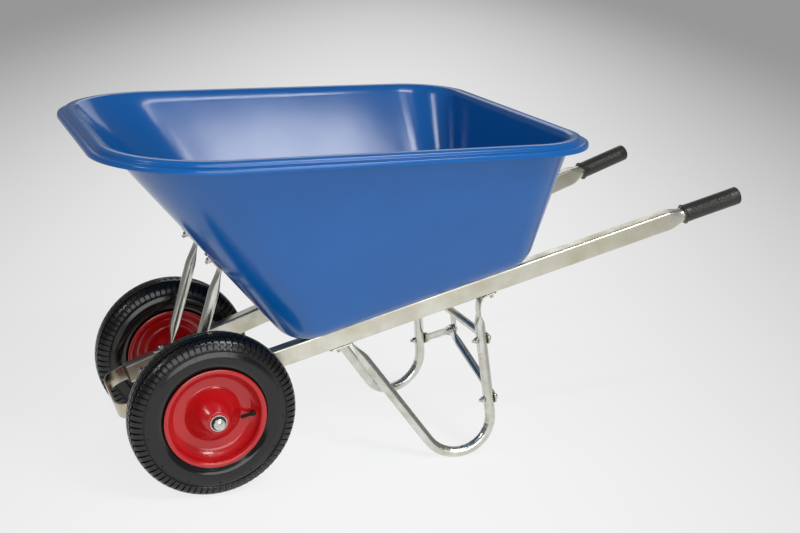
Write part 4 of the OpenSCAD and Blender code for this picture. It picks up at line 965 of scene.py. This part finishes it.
tyre_parts = [tyre_skin(), *vent_nibs(62.0, 13, 4.0), *vent_nibs(82.0, 11, 12.0)]
tread_count = len(tyre_parts[0][1][0])
for name, side in sides.items():
    shapes = [(put(flat, wheel_frame, side), faces) for flat, faces in tyre_parts]
    tyre = make_piece("tyre_tread_" + name, shapes, tread_rubber, "wheel_" + name,
                      ["tyre_" + name], sharp=32)
    tyre.data.materials.append(wall_rubber)
    wall_count = len(tyre.data.polygons) - tread_count
    tyre.data.polygons.foreach_set("material_index", [0] * tread_count + [1] * wall_count)

# %% [markdown]
# ## Rims
# A rim is two pressings, back to back. Each is a disc with a rolled flange, a cone, a flat ring and
# a bell that reaches out to the hub. The outline is a smooth line through shares of the rim's
# sizes, given a sheet's thickness and turned round the axle. A bead of weld joins each to the hub.

# %% Rims
ring_r, bell_r, hub_r, hub_half, hub_proud = 81.0, 64.0, 19.0, 59.0, 4.0
bell_top, collar_r = hub_half - hub_proud, hub_r + seat_gap
flange_shares = np.array([[1, 0.97], [0.75, 1], [0.35, 0.97], [0.1, 0.88], [0, 0.75], [0, 0.5]])
cone_shares = np.array([[0.7, 0.28], [0.35, 0.12]])
bell_shares = np.array([[1, 0], [0.86, 0.09], [0.66, 0.32], [0.47, 0.58], [0.3, 0.8], [0.14, 0.97],
                        [0.08, 1], [0, 1]])
rim_knots = np.vstack([[seat_r, 0] + flange_shares * [rim_r - seat_r, rim_half],
                       [ring_r, 0] + cone_shares * [seat_r - ring_r, rim_half],
                       [[ring_r + 1.5, rim_sheet + 0.2], [ring_r - 2, rim_sheet], [bell_r + 4, rim_sheet]],
                       [collar_r, rim_sheet] + bell_shares * [bell_r - collar_r, bell_top - rim_sheet]])
rim_line = smooth_line(rim_knots, 7)
rim_loop = np.vstack([rim_line, thicken(rim_line, -rim_sheet)[::-1]])
print("rim outline:", len(rim_loop), "points")


def weld_bead(r, z, size):
    """A ring of weld: a small circle turned round the axle, whose size swells and shrinks as the
    bead was laid in short overlapping dabs."""
    a = np.linspace(0, 2 * np.pi, 180, endpoint=False)[:, None]
    b = np.linspace(0, 2 * np.pi, 10, endpoint=False)
    swell = size * (1 + 0.16 * np.cos(22 * a) + 0.08 * np.cos(9 * a + 1))
    ring = r + swell * np.cos(b)
    return skin(np.stack([ring * np.cos(a), ring * np.sin(a), z + swell * np.sin(b)], -1), rows_closed=True)


def wheel_half(part, flip, side):
    """A skin of the outer half of a wheel, turned over to the inner half where flip is -1, put on the
    wheel of one side."""
    flat, faces = part
    return put(flat * [1, 1, flip], wheel_frame, side), faces


halves = {"outer": 1, "inner": -1}
rim_disc = skin(turned(rim_loop, 144).transpose(1, 0, 2), rows_closed=True)
rim_weld = weld_bead(hub_r + 0.9, bell_top, 1.7)
for name, side in sides.items():
    for half, flip in halves.items():
        shapes = [wheel_half(part, flip, side) for part in (rim_disc, rim_weld)]
        make_piece("rim_pressing_%s_%s" % (half, name), shapes, red_enamel, "wheel_" + name,
                   ["rim_%s_%s" % (half, name)], sharp=60)

# %% [markdown]
# ## Hubs, bushes and axle ends
# The hub is a piece of tube, painted with the rims except for its turned ends, which stay bright.
# A black nylon bush sits in each end. Both are turned profiles, with small roundings that catch the
# light as real edges do.

# %% Hubs
hub_bore_r, bush_len, bright_len = 16.5, 26.0, 1.6
hub_edge, turned_edge, bush_edge, bush_room = 0.05, 0.5, 0.8, 0.05


def bevelled_outline(corners, r, steps=4):
    """A closed outline whose corners are rounded by r: it starts and stops amid its last edge."""
    p = np.asarray(corners, float)
    middle = (p[-1] + p[0]) / 2
    return bent_path(np.vstack([middle, p, middle]), np.full(len(p), r), steps)[:-1]


def turned_ring(r_in, r_out, low, high, edge):
    """A tube's section with its four corners rounded by edge, turned round Z and closed."""
    outline = bevelled_outline([[r_in, low], [r_out, low], [r_out, high], [r_in, high]], edge)
    return skin(turned(outline, 96).transpose(1, 0, 2), rows_closed=True)


painted_half = hub_half - bright_len
hub_parts = [turned_ring(hub_bore_r, hub_r, -painted_half, painted_half, hub_edge),
             turned_ring(hub_bore_r, hub_r, painted_half, hub_half, turned_edge),
             turned_ring(hub_bore_r, hub_r, -hub_half, -painted_half, turned_edge)]
bush = turned_ring(axle_r + bush_room, hub_bore_r - seat_gap, hub_half - bush_len, hub_half, bush_edge)
for name, side in sides.items():
    make_piece("hub_tube_" + name, [wheel_half(part, 1, side) for part in hub_parts],
               [red_enamel, turned_steel, turned_steel], "wheel_" + name, ["hub_" + name])
    for half, flip in halves.items():
        make_piece("bush_%s_%s_turned" % (half, name), [wheel_half(bush, flip, side)], nylon,
                   "wheel_" + name, ["bush_%s_%s" % (half, name)])

# %% [markdown]
# A pressed steel cap is driven over each end of the axle. Its crown is rounded off and dished in the
# middle, where the tool struck it. The axle, the spacers and the inner tubes are plain turned bodies
# on the real barrow too, so the construction pieces stay and only get their finish.

# %% Axle caps
cap_r, cap_depth, cap_edge, cap_round = 13.0, 6.0, 0.4, 2.2
cap_low = hub_half + soft_gap
cap_high = cap_low + cap_depth + (cap_r - axle_r) / 2
bend_z = cap_high - 1.5
crown = np.radians(np.linspace(0, 90, 14))
cap_wall = [[cap_r - cap_edge, cap_low], [cap_r, cap_low + cap_edge], [cap_r, bend_z]]
cap_bend = np.column_stack([cap_r - cap_round + cap_round * np.cos(crown),
                            bend_z + cap_round * np.sin(crown)])
cap_dish = np.array([[7, 1.9], [5, 2.5], [3.4, 2.8], [2.8, 2.3], [2.2, 1.6], [0.3, 1.3]]) + [0, cap_high]
cap = turned(np.vstack([cap_wall, cap_bend, cap_dish]))
for name, side in sides.items():
    make_piece("axle_cap_" + name, [skin(put(cap, wheel_frame, side))], turned_steel, "chassis",
               ["cap_" + name], sharp=40)
kept_nodes = {"axle": turned_steel, "spacer_left": turned_steel, "spacer_right": turned_steel,
              "inner_tube_left": stem_rubber, "inner_tube_right": stem_rubber}
for node, finish in kept_nodes.items():
    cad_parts[node].data.materials.clear()
    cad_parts[node].data.materials.append(finish)
print("construction pieces that stay:", len(kept_nodes))

# %% [markdown]
# ## Valves
# A rubber stem leaves the rim's cone at a slant, with a thick foot, a slim waist and a fluted dust
# cap. It is a turned profile whose radius also waves with the angle over the length of the cap.

# %% Valves
valve_turn, valve_tilt, valve_out = -5.0, 33.0, 0.19 * rim_half
flutes, flute_depth, flute_low, flute_high, flute_fade = 14, 0.28, 25.0, 36.0, 1.5
valve_foot = wheel_frame @ turn("Z", -valve_turn) @ shift((ring_r + seat_r) / 2, 0, valve_out)
valve_frame = valve_foot @ turn("Y", valve_tilt - 90)
stem_knots = np.array([[3.6, -9], [3.9, -3], [6.6, -1], [6.4, 3], [5.2, 6], [4.2, 12], [3.7, 19],
                       [3.7, 23.5], [4.3, 24.2], [4.5, 25.5], [4.5, 35.5], [4.2, 37.2], [3.2, 37.9],
                       [0.4, 38]])
stem_line = smooth_line(stem_knots, 5)
stem_z = stem_line[:, 1:]
stem_a = np.linspace(0, 2 * np.pi, 8 * flutes, endpoint=False)
flute = flute_depth * ease((stem_z - flute_low) / flute_fade) * ease((flute_high - stem_z) / flute_fade)
stem_r = stem_line[:, :1] - flute * (0.5 + 0.5 * np.cos(flutes * stem_a))
stem_rows = np.stack([stem_r * np.cos(stem_a), stem_r * np.sin(stem_a), stem_z + 0 * stem_a], -1)
for name, side in sides.items():
    make_piece("valve_stem_" + name, [skin(put(stem_rows, valve_frame, side))], stem_rubber,
               "wheel_" + name, ["valve_" + name], sharp=45)

# %% [markdown]
# ## Camera, floor and light
# The camera stands where the photographer stood: a little ahead of the barrow's side, looking down.
# Its place, its turns and its focal length in pixels were fitted to a few points of the barrow, and
# the lens follows from the width of the picture.

# %% Camera
camera_at = Vector((axle_x * mm - 0.6169, -2.7729, 1.3122))
yaw, pitch, roll = np.radians([22.293, 16.579, 1.766])
focal_px, picture_px, sensor = 1284.5, 800, 36.0
ahead = Vector((np.sin(yaw) * np.cos(pitch), np.cos(yaw) * np.cos(pitch), -np.sin(pitch)))
right = Vector((np.cos(yaw), -np.sin(yaw), 0))
top = right.cross(ahead)
right, top = right * np.cos(roll) + top * np.sin(roll), top * np.cos(roll) - right * np.sin(roll)
eye = bpy.data.cameras.new("photo_camera")
eye.sensor_width, eye.lens = sensor, sensor * focal_px / picture_px
camera = bpy.data.objects.new("photo_camera", eye)
axes = Matrix((right, top, -ahead)).transposed().to_4x4()
camera.matrix_world = Matrix.Translation(camera_at) @ axes
bpy.context.scene.collection.objects.link(camera)
bpy.context.scene.camera = camera
bpy.context.scene.view_settings.view_transform = "Standard"
print("camera at", [round(v, 3) for v in camera_at])

# %% [markdown]
# The barrow stands on a pale studio floor, a roll of backdrop paper. Its colour is a painted pool of
# light: brightest along its middle, with painted grey shade towards its edges, an oval in the floor's
# coordinates. Eyes and shiny metal see most of it as a glow, so that no extra light is needed
# for it, and the rest of it is dull and keeps the barrow's soft shadow.

# %% Floor
pool_at, pool_size, pool_turn, pool_edge = (0.2, 0.9, 0), (1.8, 10, 1), np.radians(-22.293), 2.1
# painted light: pale in the middle of the pool, painted grey shade at its edges
painted_light_pale, painted_shade_grey, glow_share, floor_half = 0.97, 0.36, 0.82, 40.0
paper = bpy.data.materials.new("backdrop_paper_painted_light_pool")
paper.use_nodes = True
tree = paper.node_tree
tree.nodes.clear()
spot = add(tree, "ShaderNodeTexCoord", {}).outputs["Object"]
oval = add(tree, "ShaderNodeMapping", {"Vector": spot, "Location": pool_at, "Rotation": (0, 0, pool_turn),
                                       "Scale": pool_size}, vector_type="TEXTURE").outputs[0]
from_middle = add(tree, "ShaderNodeVectorMath", {0: oval}, operation="LENGTH").outputs["Value"]
# the painted pool of light: the floor's grey falls from pale in the middle to grey at the edge
fall = add(tree, "ShaderNodeMapRange", {"Value": from_middle, "From Max": pool_edge, "To Min": painted_light_pale,
                                        "To Max": painted_shade_grey},
           interpolation_type="SMOOTHSTEP").outputs["Result"]
grey = add(tree, "ShaderNodeCombineColor", {"Red": fall, "Green": fall, "Blue": fall}).outputs["Color"]
ray = add(tree, "ShaderNodeLightPath", {}).outputs
seen = add(tree, "ShaderNodeMath", {0: ray["Is Camera Ray"], 1: ray["Is Glossy Ray"]},
           operation="MAXIMUM").outputs[0]
share = add(tree, "ShaderNodeMath", {0: seen, 1: glow_share}, operation="MULTIPLY").outputs[0]
dull = add(tree, "ShaderNodeBsdfDiffuse", {"Color": grey}).outputs[0]
glow = add(tree, "ShaderNodeEmission", {"Color": grey, "Strength": 1.0}).outputs[0]
both = add(tree, "ShaderNodeMixShader", {0: share, 1: dull, 2: glow}).outputs[0]
add(tree, "ShaderNodeOutputMaterial", {"Surface": both})
floor_mesh = bpy.data.meshes.new("studio_floor")
floor_corners = np.array([[-1, -1, 0], [1, -1, 0], [1, 1, 0], [-1, 1, 0]]) * floor_half
floor_mesh.from_pydata(floor_corners.tolist(), [], [(0, 1, 2, 3)])
floor_mesh.materials.append(paper)
studio_floor = bpy.data.objects.new("studio_floor", floor_mesh)
bpy.context.scene.collection.objects.link(studio_floor)
print("floor:", 2 * floor_half, "metres wide")

# %% [markdown]
# The barrow is lit by soft boxes: a wide one behind the camera, a long one overhead, a small one at
# the right, whose mirror image is the pale patch on the far wall of the tray, a dim dish at the left,
# and a panel at the back for the upper faces of the rails. The air around adds a little even light.

# %% Light
air_light, air_seen = 0.25, 0.45
world = bpy.data.worlds.new("studio_air")
bpy.context.scene.world = world
world.use_nodes = True
tree = world.node_tree
tree.nodes["Background"].inputs["Color"].default_value = linear("#e6e7ea")
seen = add(tree, "ShaderNodeLightPath", {}).outputs["Is Camera Ray"]
level = add(tree, "ShaderNodeMapRange", {"Value": seen, "To Min": air_light,
                                         "To Max": air_seen}).outputs["Result"]
tree.links.new(level, tree.nodes["Background"].inputs["Strength"])


def soft_lamp(name, at, to, power, size, size_y=None, shape="RECTANGLE"):
    """An area lamp of a given size and power, turned so that it faces a point."""
    lamp = bpy.data.lights.new(name, "AREA")
    lamp.energy, lamp.shape, lamp.size = power, shape, size
    if size_y:
        lamp.size_y = size_y
    holder = bpy.data.objects.new(name, lamp)
    holder.location = at
    holder.rotation_euler = (Vector(to) - Vector(at)).to_track_quat("-Z", "Y").to_euler()
    bpy.context.scene.collection.objects.link(holder)
    return holder


soft_lamp("overhead_box", (0.3, -2.2, 3.7), (-0.1, 0.0, 0.4), 28, 2.0, 0.32)
soft_lamp("front_box", (-0.4, -4.2, 1.5), (-0.1, 0, 0.4), 70, 3.4, 2.2)
soft_lamp("right_box", (0.68, -2.1, 2.45), (-0.1, 0.1, 0.5), 21, 0.9, 0.6)
soft_lamp("back_panel", (1.0, 3.2, 2.35), (0.0, 0.0, 0.6), 13, 2.8, 1.3)
soft_lamp("left_dish", (-2.5, -0.6, 1.95), (-0.2, 0.1, 0.5), 9, 0.6, shape="DISK")
